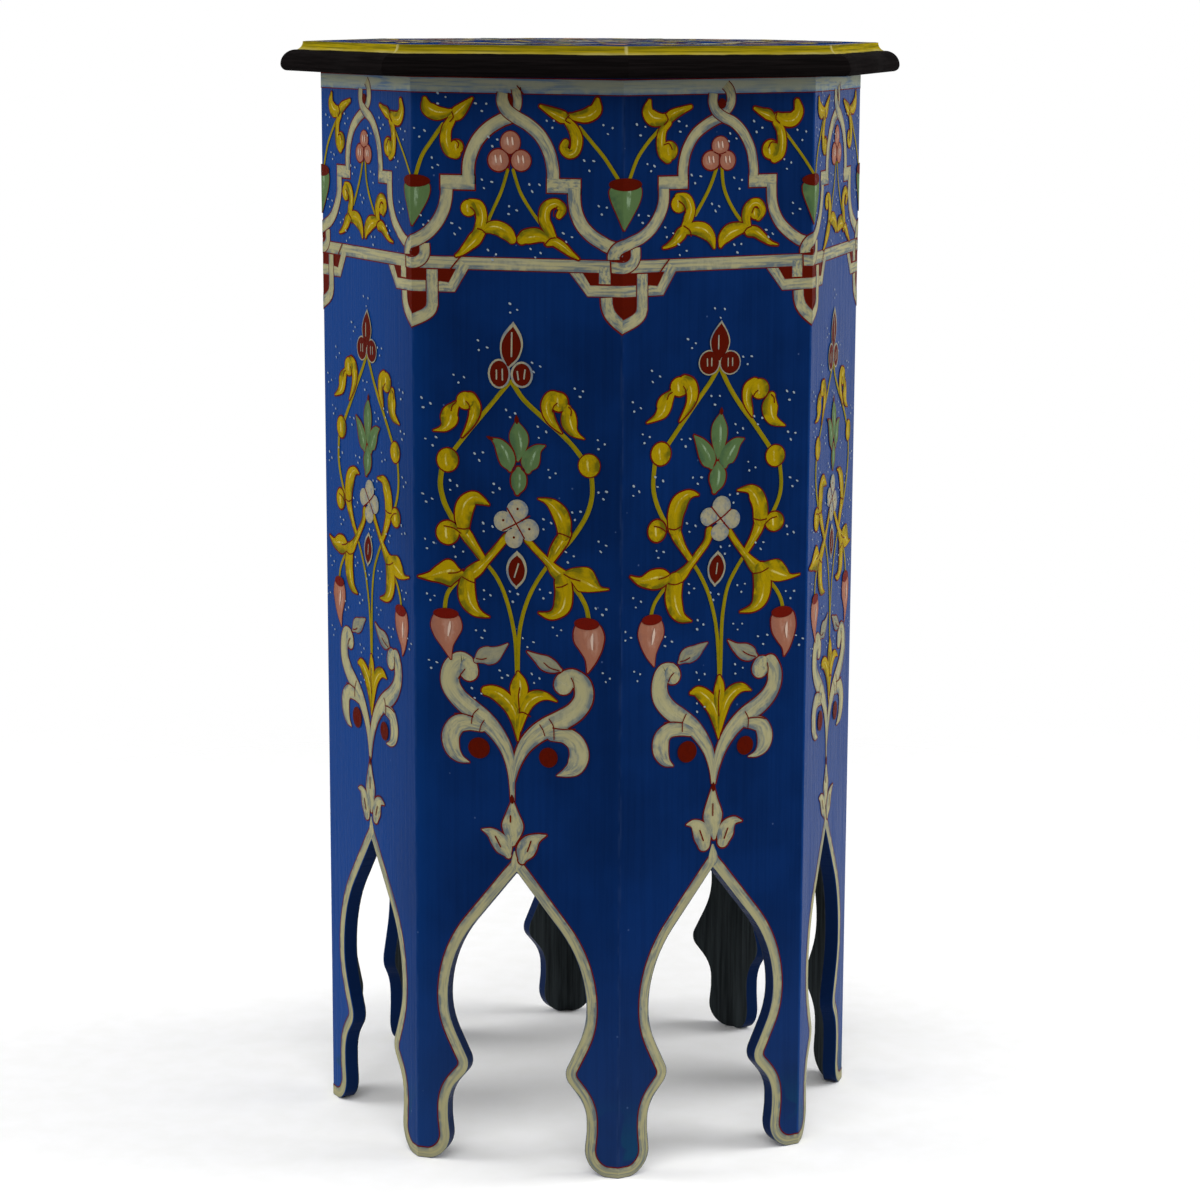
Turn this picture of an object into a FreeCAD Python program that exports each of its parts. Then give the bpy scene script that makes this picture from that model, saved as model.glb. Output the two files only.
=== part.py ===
import FreeCAD, Part
import math
import os
import Sketcher

# Eight-sided painted side table. Lengths are millimetres, angles are degrees.
# The table stands on z = 0 with its axis on Z, and panel 1 faces -Y.

SIDES = 8
STEP = 360.0 / SIDES
HALF = STEP / 2.0
# How far a cutting outline runs past the wood it cuts.
PAST = 5.0

SIZES = [
    ("overall_height", 610.0, "floor to the painted face of the top"),
    ("body_flats", 280.0, "outside of the body across two flats"),
    ("board_thick", 8.0, "thickness of a side panel"),
    ("corner_round", 1.5, "sanding radius where two panels meet"),
    ("foot_width", 19.0, "panel corner to the fullest point of the toe"),
    ("toe_radius", 15.0, "round of the toe"),
    ("toe_wear", 0.4, "how much of the toe round is worn flat"),
    ("ankle_hollow", 1.0, "how far the ankle stands behind the toe"),
    ("ankle_slope", 6.0, "slope between toe and ankle"),
    ("ankle_length", 5.0, "upright length of the ankle"),
    ("ankle_radius", 23.0, "hollow above and below the ankle"),
    ("knob_slope", 40.0, "slope of the underside of the knob"),
    ("knob_reach", 12.0, "how far the knob stands out past the ankle"),
    ("knob_radius", 9.0, "round of the knob"),
    ("waist_slope", 25.0, "slope above the knob"),
    ("belly_hollow", 11.7, "how far the belly stands behind the knob"),
    ("belly_radius", 48.0, "hollow below the widest point of the arch"),
    ("crown_radius", 69.0, "hollow above the widest point of the arch"),
    ("crown_slope", 38.5, "slope of the arch below its point"),
    ("point_radius", 1.5, "round of the point of the arch"),
    ("top_overhang", 9.0, "top board past the flat of the body"),
    ("nose_radius", 3.5, "lower round of the rim"),
    ("ovolo_radius", 8.0, "upper round of the rim"),
    ("quirk_width", 0.5, "small step between the round and the cove"),
    ("cove_run", 3.0, "cove of the rim, measured across"),
    ("cove_rise", 4.5, "cove of the rim, measured up"),
    ("cleat_width", 18.0, "cleat under the top, measured across"),
    ("cleat_height", 22.0, "cleat under the top, measured up"),
    ("block_leg", 16.0, "glue block along each panel"),
    ("block_depth", 9.0, "glue block out from each panel"),
    ("block_length", 300.0, "glue block, measured up"),
    ("brad_diameter", 1.4, "rim brad"),
    ("brad_length", 20.0, "rim brad"),
    ("brad_cover", 2.0, "filler over the head of a rim brad"),
    ("brad_spacing", 70.0, "between the two brads of a rim strip"),
    ("nail_diameter", 2.0, "cleat nail"),
    ("nail_head_diameter", 4.6, "cleat nail"),
    ("nail_head_thick", 1.0, "cleat nail"),
    ("nail_bite", 5.0, "depth of a cleat nail in its panel"),
    ("nail_spacing", 60.0, "between the two nails of a cleat"),
    ("screw_diameter", 3.6, "top screw"),
    ("screw_head_diameter", 7.2, "top screw"),
    ("screw_head_thick", 2.2, "top screw"),
    ("screw_bite", 9.0, "depth of a top screw in the top board"),
    ("hole_gap", 0.1, "hole across, over the fastener in it"),
]

DERIVED = [
    ("mitre", "tan(%s deg)" % HALF, "half width of a side for each unit from the axis"),
    ("panel_face", "body_flats / 2", "axis to the outside of a panel"),
    ("panel_back", "panel_face - board_thick", "axis to the inside of a panel"),
    ("panel_half", "panel_face * mitre", "half the outside width of a panel"),
    ("round_from", "panel_face - corner_round", "axis to the start of a sanded corner"),
    ("rim_width", "cove_run + quirk_width + ovolo_radius", "rim strip, measured across"),
    ("rim_round", "nose_radius + ovolo_radius", "height of the round part of the rim"),
    ("top_thick", "rim_round + cove_rise", "thickness of the top"),
    ("panel_height", "overall_height - top_thick", "floor to the underside of the top"),
    ("board_edge", "panel_face + top_overhang", "axis to the edge of the top board"),
    ("rim_nose", "board_edge + rim_width", "axis to the nose of the rim"),
    ("cleat_back", "panel_back - cleat_width", "axis to the inner face of a cleat"),
    ("cleat_under", "panel_height - cleat_height", "floor to the underside of a cleat"),
    ("toe_half", "panel_half - foot_width", "half the opening at the toe"),
    ("ankle_half", "toe_half + ankle_hollow", "half the opening at the ankle"),
    ("knob_half", "ankle_half - knob_reach", "half the opening at the knob"),
    ("belly_half", "knob_half + belly_hollow", "half the opening at its widest"),
    ("brad_height", "panel_height + nose_radius", "floor to the line of the brads"),
    ("brad_in_rim", "rim_width - brad_cover", "length of a brad inside its strip"),
    ("brad_in_board", "brad_length - brad_in_rim", "length of a brad inside the top board"),
    ("nail_height", "panel_height - cleat_height / 2", "floor to the line of the nails"),
    ("nail_length", "cleat_width + nail_bite", "cleat nail under its head"),
    ("screw_line", "panel_back - cleat_width / 2", "axis to the line of the screws"),
    ("screw_length", "cleat_height + screw_bite", "top screw under its head"),
    ("brad_hole", "brad_diameter + hole_gap", "hole for a brad"),
    ("nail_hole", "nail_diameter + hole_gap", "hole for a nail"),
    ("screw_hole", "screw_diameter + hole_gap", "hole for a screw"),
]

# Numbers by which constraints know the origin point and the axes of a sketch.
ORIGIN_POINT = (-1, 1)
AXIS = {"x": -1, "y": -2}

doc = FreeCAD.newDocument("moroccan_table")
bodies = []


def build_sheet():
    """Fill the sheet with the set sizes, then with the sizes worked out from them."""
    page = doc.addObject("Spreadsheet::Sheet", "sizes")
    rows = [(name, str(value), note) for name, value, note in SIZES]
    rows += [(name, "=" + formula, note) for name, formula, note in DERIVED]
    for row, (name, content, note) in enumerate(rows, start=1):
        page.set("A%d" % row, name)
        page.set("B%d" % row, content)
        page.set("C%d" % row, note)
        page.setAlias("B%d" % row, name)
    doc.recompute()
    return page


sheet = build_sheet()


def linked(formula):
    """A formula as other objects read it; each alias in it is written after an @."""
    return formula.replace("@", "sizes.")


def bind(item, prop, formula):
    """Let a property follow a formula of sizes."""
    item.setExpression(prop, linked(formula))


def worked(formula):
    """The present value of a formula of sizes, as a plain number."""
    value = sheet.evalExpression(linked(formula))
    return float(getattr(value, "Value", value))


def size(name):
    return worked("@" + name)


def new_body(name):
    body = doc.addObject("PartDesign::Body", name)
    body.Label = name
    bodies.append(body)
    return body


def origin_part(body, role):
    for feature in body.Origin.OriginFeatures:
        if feature.Role == role:
            return feature
    raise ValueError("no origin feature " + role)


def new_sketch(body, plane, offset=None):
    """A sketch on an origin plane of the body, moved along its normal by a formula."""
    sketch = body.newObject("Sketcher::SketchObject", body.Name + "_outline")
    sketch.AttachmentSupport = [(origin_part(body, plane), "")]
    sketch.MapMode = "FlatFace"
    if offset:
        bind(sketch, "AttachmentOffset.Base.z", offset)
    return sketch


def new_feature(body, kind, name):
    feature = body.newObject("PartDesign::" + kind, body.Name + "_" + name)
    body.Tip = feature
    return feature


def extrude(body, kind, name, sketch, length=None, side="One side", flipped=False):
    """Pad or pocket a sketch by a formula, or through everything when none is given."""
    feature = new_feature(body, kind, name)
    feature.Profile = sketch
    feature.SideType = side
    feature.Reversed = flipped
    if length:
        bind(feature, "Length", length)
    else:
        feature.Type = "ThroughAll"
    return feature


def repeat_round(body, features):
    """Repeat features of a body once for each side of the table."""
    pattern = new_feature(body, "PolarPattern", "round")
    pattern.Originals = features
    pattern.Axis = (origin_part(body, "Z_Axis"), [""])
    pattern.Angle = 360.0
    pattern.Occurrences = SIDES


def turn(body, angle):
    """Turn a finished body about the axis of the table."""
    axis = FreeCAD.Vector(0, 0, 1)
    body.Placement = FreeCAD.Placement(FreeCAD.Vector(), FreeCAD.Rotation(axis, angle))


class Outline:
    """A closed outline drawn in one direction, with dimensions tied to the sheet."""

    def __init__(self, sketch):
        self.sketch = sketch
        self.parts = []

    def line(self, start, end):
        first = FreeCAD.Vector(start[0], start[1], 0)
        last = FreeCAD.Vector(end[0], end[1], 0)
        index = self.sketch.addGeometry(Part.LineSegment(first, last))
        self.parts.append((index, 1, 2))
        return index

    def arc(self, centre, radius, start, end):
        """An arc between two directions in degrees; it may run either way round."""
        middle = FreeCAD.Vector(centre[0], centre[1], 0)
        circle = Part.Circle(middle, FreeCAD.Vector(0, 0, 1), radius)
        low = math.radians(min(start, end))
        high = math.radians(max(start, end))
        index = self.sketch.addGeometry(Part.ArcOfCircle(circle, low, high))
        self.parts.append((index, 1, 2) if start < end else (index, 2, 1))
        return index

    def close(self, smooth=()):
        """Join each part to the next, tangent where the first of the two is in smooth."""
        for here, following in zip(self.parts, self.parts[1:] + self.parts[:1]):
            kind = "Tangent" if here[0] in smooth else "Coincident"
            self.fix(kind, here[0], here[2], following[0], following[1])

    def fix(self, *values):
        return self.sketch.addConstraint(Sketcher.Constraint(*values))

    def measure(self, formula, kind, *places):
        """Add a dimension whose value follows a formula of sizes."""
        value = worked(formula)
        if kind == "Angle":
            value = math.radians(value)
        index = self.fix(kind, *places, value)
        bind(self.sketch, "Constraints[%d]" % index, formula)

    def place(self, index, end, x, y):
        """Hold a point of the outline at two formulas."""
        for kind, formula, axis in (("DistanceX", x, "y"), ("DistanceY", y, "x")):
            if formula == "0":
                self.fix("PointOnObject", index, end, AXIS[axis])
            else:
                self.measure(formula, kind, *ORIGIN_POINT, index, end)


def polygon(sketch, corners):
    """A straight-sided outline; each corner is a pair of formulas for x and y."""
    outline = Outline(sketch)
    points = [(worked(x), worked(y)) for x, y in corners]
    for start, end in zip(points, points[1:] + points[:1]):
        outline.line(start, end)
    outline.close()
    for (index, first, _), (x, y) in zip(outline.parts, corners):
        outline.place(index, first, x, y)


def circles(sketch, diameter, middles):
    """Circles of one diameter; each middle is a pair of formulas for x and y."""
    outline = Outline(sketch)
    for x, y in middles:
        middle = FreeCAD.Vector(worked(x), worked(y), 0)
        ring = Part.Circle(middle, FreeCAD.Vector(0, 0, 1), worked(diameter) / 2.0)
        index = sketch.addGeometry(ring)
        outline.measure(diameter, "Diameter", index)
        outline.place(index, 3, x, y)


def pair(spacing, height):
    """Middles of two circles set either side of the middle line of a piece."""
    return [("@%s / 2" % spacing, "@" + height), ("-@%s / 2" % spacing, "@" + height)]


def panel_section(sketch):
    """Mitred section of a panel with its two outside corners sanded round."""
    face = size("panel_face")
    back = size("panel_back")
    mitre = size("mitre")
    radius = size("corner_round")
    start = size("round_from")
    reach = start + radius * math.cos(math.radians(HALF))
    outline = Outline(sketch)
    front = outline.line((-start * mitre, -face), (start * mitre, -face))
    right = outline.arc((start * mitre, -start), radius, -90.0, HALF - 90.0)
    right_mitre = outline.line((reach * mitre, -reach), (back * mitre, -back))
    inside = outline.line((back * mitre, -back), (-back * mitre, -back))
    left_mitre = outline.line((-back * mitre, -back), (-reach * mitre, -reach))
    left = outline.arc((-start * mitre, -start), radius, 270.0 - HALF, 270.0)
    outline.close([front, left])
    outline.place(front, 1, "-@round_from * @mitre", "-@panel_face")
    outline.place(front, 2, "@round_from * @mitre", "-@panel_face")
    outline.place(inside, 1, "@panel_back * @mitre", "-@panel_back")
    outline.place(inside, 2, "-@panel_back * @mitre", "-@panel_back")
    for arc, line in ((right, right_mitre), (left, left_mitre)):
        outline.measure("@corner_round", "Radius", arc)
        outline.fix("PointOnObject", arc, 3, line)


def on_circle(centre, radius, angle):
    direction = math.radians(angle)
    return (centre[0] + radius * math.cos(direction), centre[1] + radius * math.sin(direction))


def slope_rise(across, slope):
    """Height gained on a slope, given in degrees from upright, while moving across."""
    return across / math.tan(math.radians(slope))


def arch_half(sketch):
    """Right half of the arch, drawn from the floor up to its point and back down."""
    toe_r = size("toe_radius")
    ankle_r = size("ankle_radius")
    knob_r = size("knob_radius")
    belly_r = size("belly_radius")
    crown_r = size("crown_radius")
    point_r = size("point_radius")
    low = size("ankle_slope")
    knee = size("knob_slope")
    waist = size("waist_slope")
    crown = size("crown_slope")

    # Ends of each straight slope, worked out from the floor upward.
    toe_c = (size("toe_half") + toe_r, toe_r - size("toe_wear"))
    contact = math.degrees(math.asin(toe_c[1] / toe_r))
    toe_start = on_circle(toe_c, toe_r, 180.0 + contact)
    low_start = on_circle(toe_c, toe_r, 180.0 - low)
    ankle_x = size("ankle_half") - ankle_r
    low_end_x = ankle_x + ankle_r * math.cos(math.radians(low))
    low_end = (low_end_x, low_start[1] + slope_rise(low_end_x - low_start[0], low))
    under_c = (ankle_x, low_end[1] + ankle_r * math.sin(math.radians(low)))
    over_c = (ankle_x, under_c[1] + size("ankle_length"))
    knee_start = on_circle(over_c, ankle_r, knee)
    knob_x = size("knob_half") + knob_r
    knee_end_x = knob_x - knob_r * math.cos(math.radians(knee))
    knee_end = (knee_end_x, knee_start[1] + slope_rise(knee_start[0] - knee_end_x, knee))
    knob_c = (knob_x, knee_end[1] + knob_r * math.sin(math.radians(knee)))
    waist_start = on_circle(knob_c, knob_r, 180.0 - waist)
    belly_x = size("belly_half")
    waist_end_x = belly_x - belly_r * (1.0 - math.cos(math.radians(waist)))
    waist_end = (waist_end_x, waist_start[1] + slope_rise(waist_end_x - waist_start[0], waist))
    belly_z = waist_end[1] + belly_r * math.sin(math.radians(waist))
    crown_c = (belly_x - crown_r, belly_z)
    crown_start = on_circle(crown_c, crown_r, crown)
    crown_end_x = point_r * math.cos(math.radians(crown))
    crown_end = (crown_end_x, crown_start[1] + slope_rise(crown_start[0] - crown_end_x, crown))
    point_c = (0.0, crown_end[1] - point_r * math.sin(math.radians(crown)))
    top = (0.0, point_c[1] + point_r)

    outline = Outline(sketch)
    floor = outline.line((0.0, -PAST), (toe_start[0], -PAST))
    rise = outline.line((toe_start[0], -PAST), toe_start)
    toe = outline.arc(toe_c, toe_r, 180.0 + contact, 180.0 - low)
    low_line = outline.line(low_start, low_end)
    under = outline.arc(under_c, ankle_r, -low, 0.0)
    ankle = outline.line((ankle_x + ankle_r, under_c[1]), (ankle_x + ankle_r, over_c[1]))
    over = outline.arc(over_c, ankle_r, 0.0, knee)
    knee_line = outline.line(knee_start, knee_end)
    knob = outline.arc(knob_c, knob_r, 180.0 + knee, 180.0 - waist)
    waist_line = outline.line(waist_start, waist_end)
    belly = outline.arc((belly_x - belly_r, belly_z), belly_r, -waist, 0.0)
    shoulder = outline.arc(crown_c, crown_r, 0.0, crown)
    crown_line = outline.line(crown_start, crown_end)
    point = outline.arc(point_c, point_r, crown, 90.0)
    middle = outline.line(top, (0.0, -PAST))

    curve = [toe, low_line, under, ankle, over, knee_line, knob, waist_line, belly, shoulder]
    outline.close(curve + [crown_line])
    outline.place(floor, 1, "0", "-%s" % PAST)
    outline.fix("Horizontal", floor)
    for index in (rise, ankle, middle):
        outline.fix("Vertical", index)
    outline.fix("PointOnObject", rise, 2, AXIS["x"])
    outline.place(toe, 3, "@toe_half + @toe_radius", "@toe_radius - @toe_wear")
    outline.measure("@ankle_half", "DistanceX", *ORIGIN_POINT, ankle, 1)
    outline.measure("@ankle_length", "Distance", ankle)
    outline.measure("@knob_half + @knob_radius", "DistanceX", *ORIGIN_POINT, knob, 3)
    outline.measure("@belly_half", "DistanceX", *ORIGIN_POINT, shoulder, 1)
    outline.fix("Horizontal", shoulder, 3, shoulder, 1)
    outline.fix("PointOnObject", point, 3, AXIS["y"])
    radii = [
        (toe, "toe_radius"),
        (under, "ankle_radius"),
        (over, "ankle_radius"),
        (knob, "knob_radius"),
        (belly, "belly_radius"),
        (shoulder, "crown_radius"),
        (point, "point_radius"),
    ]
    for index, name in radii:
        outline.measure("@" + name, "Radius", index)
    outline.measure("90 - @ankle_slope", "Angle", low_line)
    outline.measure("90 + @knob_slope", "Angle", knee_line)
    outline.measure("90 - @waist_slope", "Angle", waist_line)
    outline.measure("90 + @crown_slope", "Angle", crown_line)


def build_panel(index):
    body = new_body("side_panel_%d" % (index + 1))
    section = new_sketch(body, "XY_Plane")
    panel_section(section)
    extrude(body, "Pad", "board", section, "@panel_height")

    half = new_sketch(body, "XZ_Plane", "@panel_back - %s" % PAST)
    arch_half(half)
    cut = extrude(body, "Pocket", "arch", half, "@board_thick + %s" % (2.0 * PAST), flipped=True)
    mirror = new_feature(body, "Mirrored", "arch_pair")
    mirror.Originals = [cut]
    mirror.MirrorPlane = (origin_part(body, "YZ_Plane"), [""])

    holes = new_sketch(body, "XZ_Plane", "@panel_back")
    circles(holes, "@nail_hole", pair("nail_spacing", "nail_height"))
    extrude(body, "Pocket", "nail_holes", holes, "@nail_bite", flipped=True)
    turn(body, STEP * index)


def rim_section(sketch):
    """Section of the rim: flat underside, round nose, small step and cove."""
    edge = -size("board_edge")
    nose = -size("rim_nose")
    under = size("panel_height")
    nose_r = size("nose_radius")
    ovolo_r = size("ovolo_radius")
    run = size("cove_run")
    rise = size("cove_rise")
    cove_r = (run * run + rise * rise) / (2.0 * run)
    brow = under + nose_r + ovolo_r
    top = brow + rise
    cove_end = math.degrees(math.asin(rise / cove_r))
    outline = Outline(sketch)
    back = outline.line((edge, top), (edge, under))
    base = outline.line((edge, under), (nose + nose_r, under))
    lower = outline.arc((nose + nose_r, under + nose_r), nose_r, 270.0, 180.0)
    upper = outline.arc((nose + ovolo_r, under + nose_r), ovolo_r, 180.0, 90.0)
    quirk = outline.line((nose + ovolo_r, brow), (edge - run, brow))
    cove = outline.arc((edge - cove_r, top), cove_r, -cove_end, 0.0)
    outline.close([base, lower, upper])
    outline.place(back, 1, "-@board_edge", "@overall_height")
    outline.place(back, 2, "-@board_edge", "@panel_height")
    outline.fix("Horizontal", base)
    outline.measure("@nose_radius", "Radius", lower)
    outline.measure("@ovolo_radius", "Radius", upper)
    outline.measure("-@rim_nose", "DistanceX", *ORIGIN_POINT, upper, 2)
    outline.fix("Horizontal", upper, 3, upper, 2)
    outline.place(quirk, 2, "-@board_edge - @cove_run", "@panel_height + @rim_round")
    outline.fix("Horizontal", cove, 3, cove, 2)


def mitre_ends(body):
    """Cut both ends of an unturned piece along the planes that meet its neighbours."""
    far = "@rim_nose + %s" % PAST
    for side, name in (("", "right"), ("-", "left")):
        sketch = new_sketch(body, "XY_Plane")
        corners = [
            ("0", "0"),
            ("%s(%s) * @mitre" % (side, far), "-(%s)" % far),
            ("%s(%s)" % (side, far), "-(%s)" % far),
            ("%s(%s)" % (side, far), "0"),
        ]
        polygon(sketch, corners)
        extrude(body, "Pocket", "mitre_" + name, sketch, side="Symmetric")


def build_rim(index):
    body = new_body("rim_strip_%d" % (index + 1))
    section = new_sketch(body, "YZ_Plane")
    rim_section(section)
    extrude(body, "Pad", "moulding", section, "2 * @rim_nose * @mitre", side="Symmetric")
    mitre_ends(body)
    holes = new_sketch(body, "XZ_Plane", "@board_edge")
    circles(holes, "@brad_hole", pair("brad_spacing", "brad_height"))
    extrude(body, "Pocket", "brad_holes", holes, "@brad_in_rim", flipped=True)
    turn(body, STEP * index)


def build_top():
    body = new_body("top_board")
    plan = new_sketch(body, "XY_Plane", "@panel_height")
    reach = "@board_edge / cos(%s deg)" % HALF
    corners = []
    for number in range(SIDES):
        angle = HALF + STEP * number
        corners.append(("%s * cos(%s deg)" % (reach, angle), "%s * sin(%s deg)" % (reach, angle)))
    polygon(plan, corners)
    extrude(body, "Pad", "board", plan, "@top_thick")
    edge = new_sketch(body, "XZ_Plane", "@board_edge")
    circles(edge, "@brad_hole", pair("brad_spacing", "brad_height"))
    brads = extrude(body, "Pocket", "brad_holes", edge, "@brad_in_board")
    under = new_sketch(body, "XY_Plane", "@panel_height")
    circles(under, "@screw_hole", [("0", "-@screw_line")])
    screws = extrude(body, "Pocket", "screw_holes", under, "@screw_bite", flipped=True)
    repeat_round(body, [brads, screws])


def build_cleat(index):
    body = new_body("top_cleat_%d" % (index + 1))
    plan = new_sketch(body, "XY_Plane", "@cleat_under")
    corners = [
        ("-@cleat_back * @mitre", "-@cleat_back"),
        ("-@panel_back * @mitre", "-@panel_back"),
        ("@panel_back * @mitre", "-@panel_back"),
        ("@cleat_back * @mitre", "-@cleat_back"),
    ]
    polygon(plan, corners)
    extrude(body, "Pad", "batten", plan, "@cleat_height")
    face = new_sketch(body, "XZ_Plane", "@panel_back")
    circles(face, "@nail_hole", pair("nail_spacing", "nail_height"))
    extrude(body, "Pocket", "nail_holes", face)
    under = new_sketch(body, "XY_Plane", "@cleat_under")
    circles(under, "@screw_hole", [("0", "-@screw_line")])
    extrude(body, "Pocket", "screw_hole", under, flipped=True)
    turn(body, STEP * index)


def build_block(index):
    """Glue block drawn behind the corner on +X, then turned to a corner of the body."""
    body = new_body("corner_block_%d" % (index + 1))
    plan = new_sketch(body, "XY_Plane", "@cleat_under - @block_length")
    corner = "@panel_back / cos(%s deg)" % HALF
    along_x = "%s - @block_leg * sin(%s deg)" % (corner, HALF)
    along_y = "@block_leg * cos(%s deg)" % HALF
    deep_x = "%s - @block_depth * cos(%s deg)" % (along_x, HALF)
    deep_y = "%s - @block_depth * sin(%s deg)" % (along_y, HALF)
    corners = [
        (corner, "0"),
        (along_x, along_y),
        (deep_x, deep_y),
        (deep_x, "-(%s)" % deep_y),
        (along_x, "-(%s)" % along_y),
    ]
    polygon(plan, corners)
    extrude(body, "Pad", "block", plan, "@block_length")
    turn(body, STEP * index - 90.0 + HALF)


def build_brads():
    body = new_body("rim_brads")
    ends = new_sketch(body, "XZ_Plane", "@rim_nose - @brad_cover")
    circles(ends, "@brad_diameter", pair("brad_spacing", "brad_height"))
    shanks = extrude(body, "Pad", "shanks", ends, "@brad_length", flipped=True)
    repeat_round(body, [shanks])


def build_nails():
    body = new_body("cleat_nails")
    ends = new_sketch(body, "XZ_Plane", "@cleat_back")
    circles(ends, "@nail_diameter", pair("nail_spacing", "nail_height"))
    shanks = extrude(body, "Pad", "shanks", ends, "@nail_length")
    tops = new_sketch(body, "XZ_Plane", "@cleat_back")
    circles(tops, "@nail_head_diameter", pair("nail_spacing", "nail_height"))
    heads = extrude(body, "Pad", "heads", tops, "@nail_head_thick", flipped=True)
    repeat_round(body, [shanks, heads])


def build_screws():
    body = new_body("top_screws")
    ends = new_sketch(body, "XY_Plane", "@cleat_under")
    circles(ends, "@screw_diameter", [("0", "-@screw_line")])
    shanks = extrude(body, "Pad", "shanks", ends, "@screw_length")
    tops = new_sketch(body, "XY_Plane", "@cleat_under")
    circles(tops, "@screw_head_diameter", [("0", "-@screw_line")])
    heads = extrude(body, "Pad", "heads", tops, "@screw_head_thick", flipped=True)
    repeat_round(body, [shanks, heads])


def check(count):
    """Stop unless every object is up to date and every piece has the solids it should."""
    for item in doc.Objects:
        if "Invalid" in item.State or "Error" in item.State:
            raise ValueError("%s is in state %s" % (item.Name, item.State))
    for body in bodies:
        shape = body.Shape
        expected = count.get(body.Label, 1)
        if shape.isNull() or not shape.isValid() or len(shape.Solids) != expected:
            raise ValueError("%s has a bad shape" % body.Label)


for side in range(SIDES):
    build_panel(side)
    build_rim(side)
    build_cleat(side)
    build_block(side)
build_top()
build_brads()
build_nails()
build_screws()
doc.recompute()
check({"rim_brads": 2 * SIDES, "cleat_nails": 2 * SIDES, "top_screws": SIDES})

os.makedirs("parts", exist_ok=True)
for body in bodies:
    body.Shape.exportStep("parts/%s.step" % body.Label)
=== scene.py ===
"""Looks of an eight-sided painted side table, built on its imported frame.

The ornament is brush work on flat sides: each stroke is a thin ribbon through a few
points in millimetres, laid in coats over the blue ground and carried round the table.
"""

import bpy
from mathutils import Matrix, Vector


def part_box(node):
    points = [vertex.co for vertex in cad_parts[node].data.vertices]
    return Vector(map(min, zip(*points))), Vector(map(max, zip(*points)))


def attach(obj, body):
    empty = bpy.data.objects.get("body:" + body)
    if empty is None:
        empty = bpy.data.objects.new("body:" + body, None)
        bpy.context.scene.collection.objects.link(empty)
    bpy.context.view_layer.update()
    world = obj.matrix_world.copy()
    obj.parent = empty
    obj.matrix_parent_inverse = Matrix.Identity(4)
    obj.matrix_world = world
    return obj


bl_info = {
    "name": "Painted octagonal table",
    "version": (1, 0, 0),
    "blender": (4, 5, 0),
    "location": "View3D > Sidebar > Table",
    "description": "Paints an eight-sided side table and sets it on a pale floor",
    "category": "Object",
}

import math
import random

import bmesh
import bpy
from mathutils import Matrix, Vector

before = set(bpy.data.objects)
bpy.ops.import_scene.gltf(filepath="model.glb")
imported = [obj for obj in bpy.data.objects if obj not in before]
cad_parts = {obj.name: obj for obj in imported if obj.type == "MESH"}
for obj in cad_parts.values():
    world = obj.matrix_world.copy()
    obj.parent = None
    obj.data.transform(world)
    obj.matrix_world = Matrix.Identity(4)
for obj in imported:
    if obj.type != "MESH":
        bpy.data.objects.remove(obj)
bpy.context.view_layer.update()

MM = 0.001
SIDES = 8
HALF_TURN = math.pi / SIDES
PANEL_LOW, PANEL_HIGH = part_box("side_panel_1")
FACE = -PANEL_LOW.y
BACK = -PANEL_HIGH.y
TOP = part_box("top_board")[1].z
RIM_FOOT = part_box("rim_strip_1")[0].z
CORNER = FACE * math.tan(HALF_TURN) / MM
STROKE_UV = "stroke"


def srgb(red, green, blue):
    """A colour as it looks on a screen, 0 to 255, as the linear values that a shader takes."""
    steps = [channel / 255 for channel in (red, green, blue)]
    return tuple(s / 12.92 if s <= 0.04045 else ((s + 0.055) / 1.055) ** 2.4 for s in steps)


# Brush work on the sides


def even(half, *places):
    """Points of a stroke that keeps one half width."""
    return [(across, height, half) for across, height in places]


def both(*points):
    """A mark and its mirror image across the middle line."""
    return list(points), [(-across, *rest) for across, *rest in points]


# Each layer is a coat over the one before it: its name, its paint, how its marks are
# drawn, and the layer under which the red line round them lies, if they have one.
LAYERS = (
    ("grounds", "dark_red", "patch", None),
    ("top_band", "pale", "bar", "top_band"),
    ("under_bars", "ivory", "bar", "under_bars"),
    ("border_point", "ivory", "brush", None),
    ("low_bars", "ivory", "bar", "low_bars"),
    ("low_strands", "ivory", "strand", "low_bars"),
    ("mid_bars", "ivory", "bar", "mid_bars"),
    ("mid_strands", "ivory", "strand", "mid_bars"),
    ("high_bars", "ivory", "bar", "high_bars"),
    ("high_strands", "ivory", "strand", "high_bars"),
    ("scrolls", "ivory", "brush", "scrolls"),
    ("faint_leaves", "grey", "brush", "faint_leaves"),
    ("stems", "olive", "brush", None),
    ("pods", "pink", "brush", "pods"),
    ("berries", "pink", "disc", "berries"),
    ("leaves", "yellow", "brush", "leaves"),
    ("over_leaves", "yellow", "brush", "leaves"),
    ("balls", "yellow", "disc", "leaves"),
    ("buds", "green", "brush", "buds"),
    ("halos", "white", "brush", None),
    ("halo_rounds", "white", "disc", None),
    ("seeds", "dark_red", "brush", None),
    ("seed_rounds", "dark_red", "disc", None),
    ("lids", "red", "disc", None),
    ("lines", "red", "brush", None),
    ("dashes", "white", "brush", None),
    ("dabs", "blush", "brush", None),
)
LEVELS = {layer: level for level, (layer, *_) in enumerate(LAYERS)}

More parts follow.
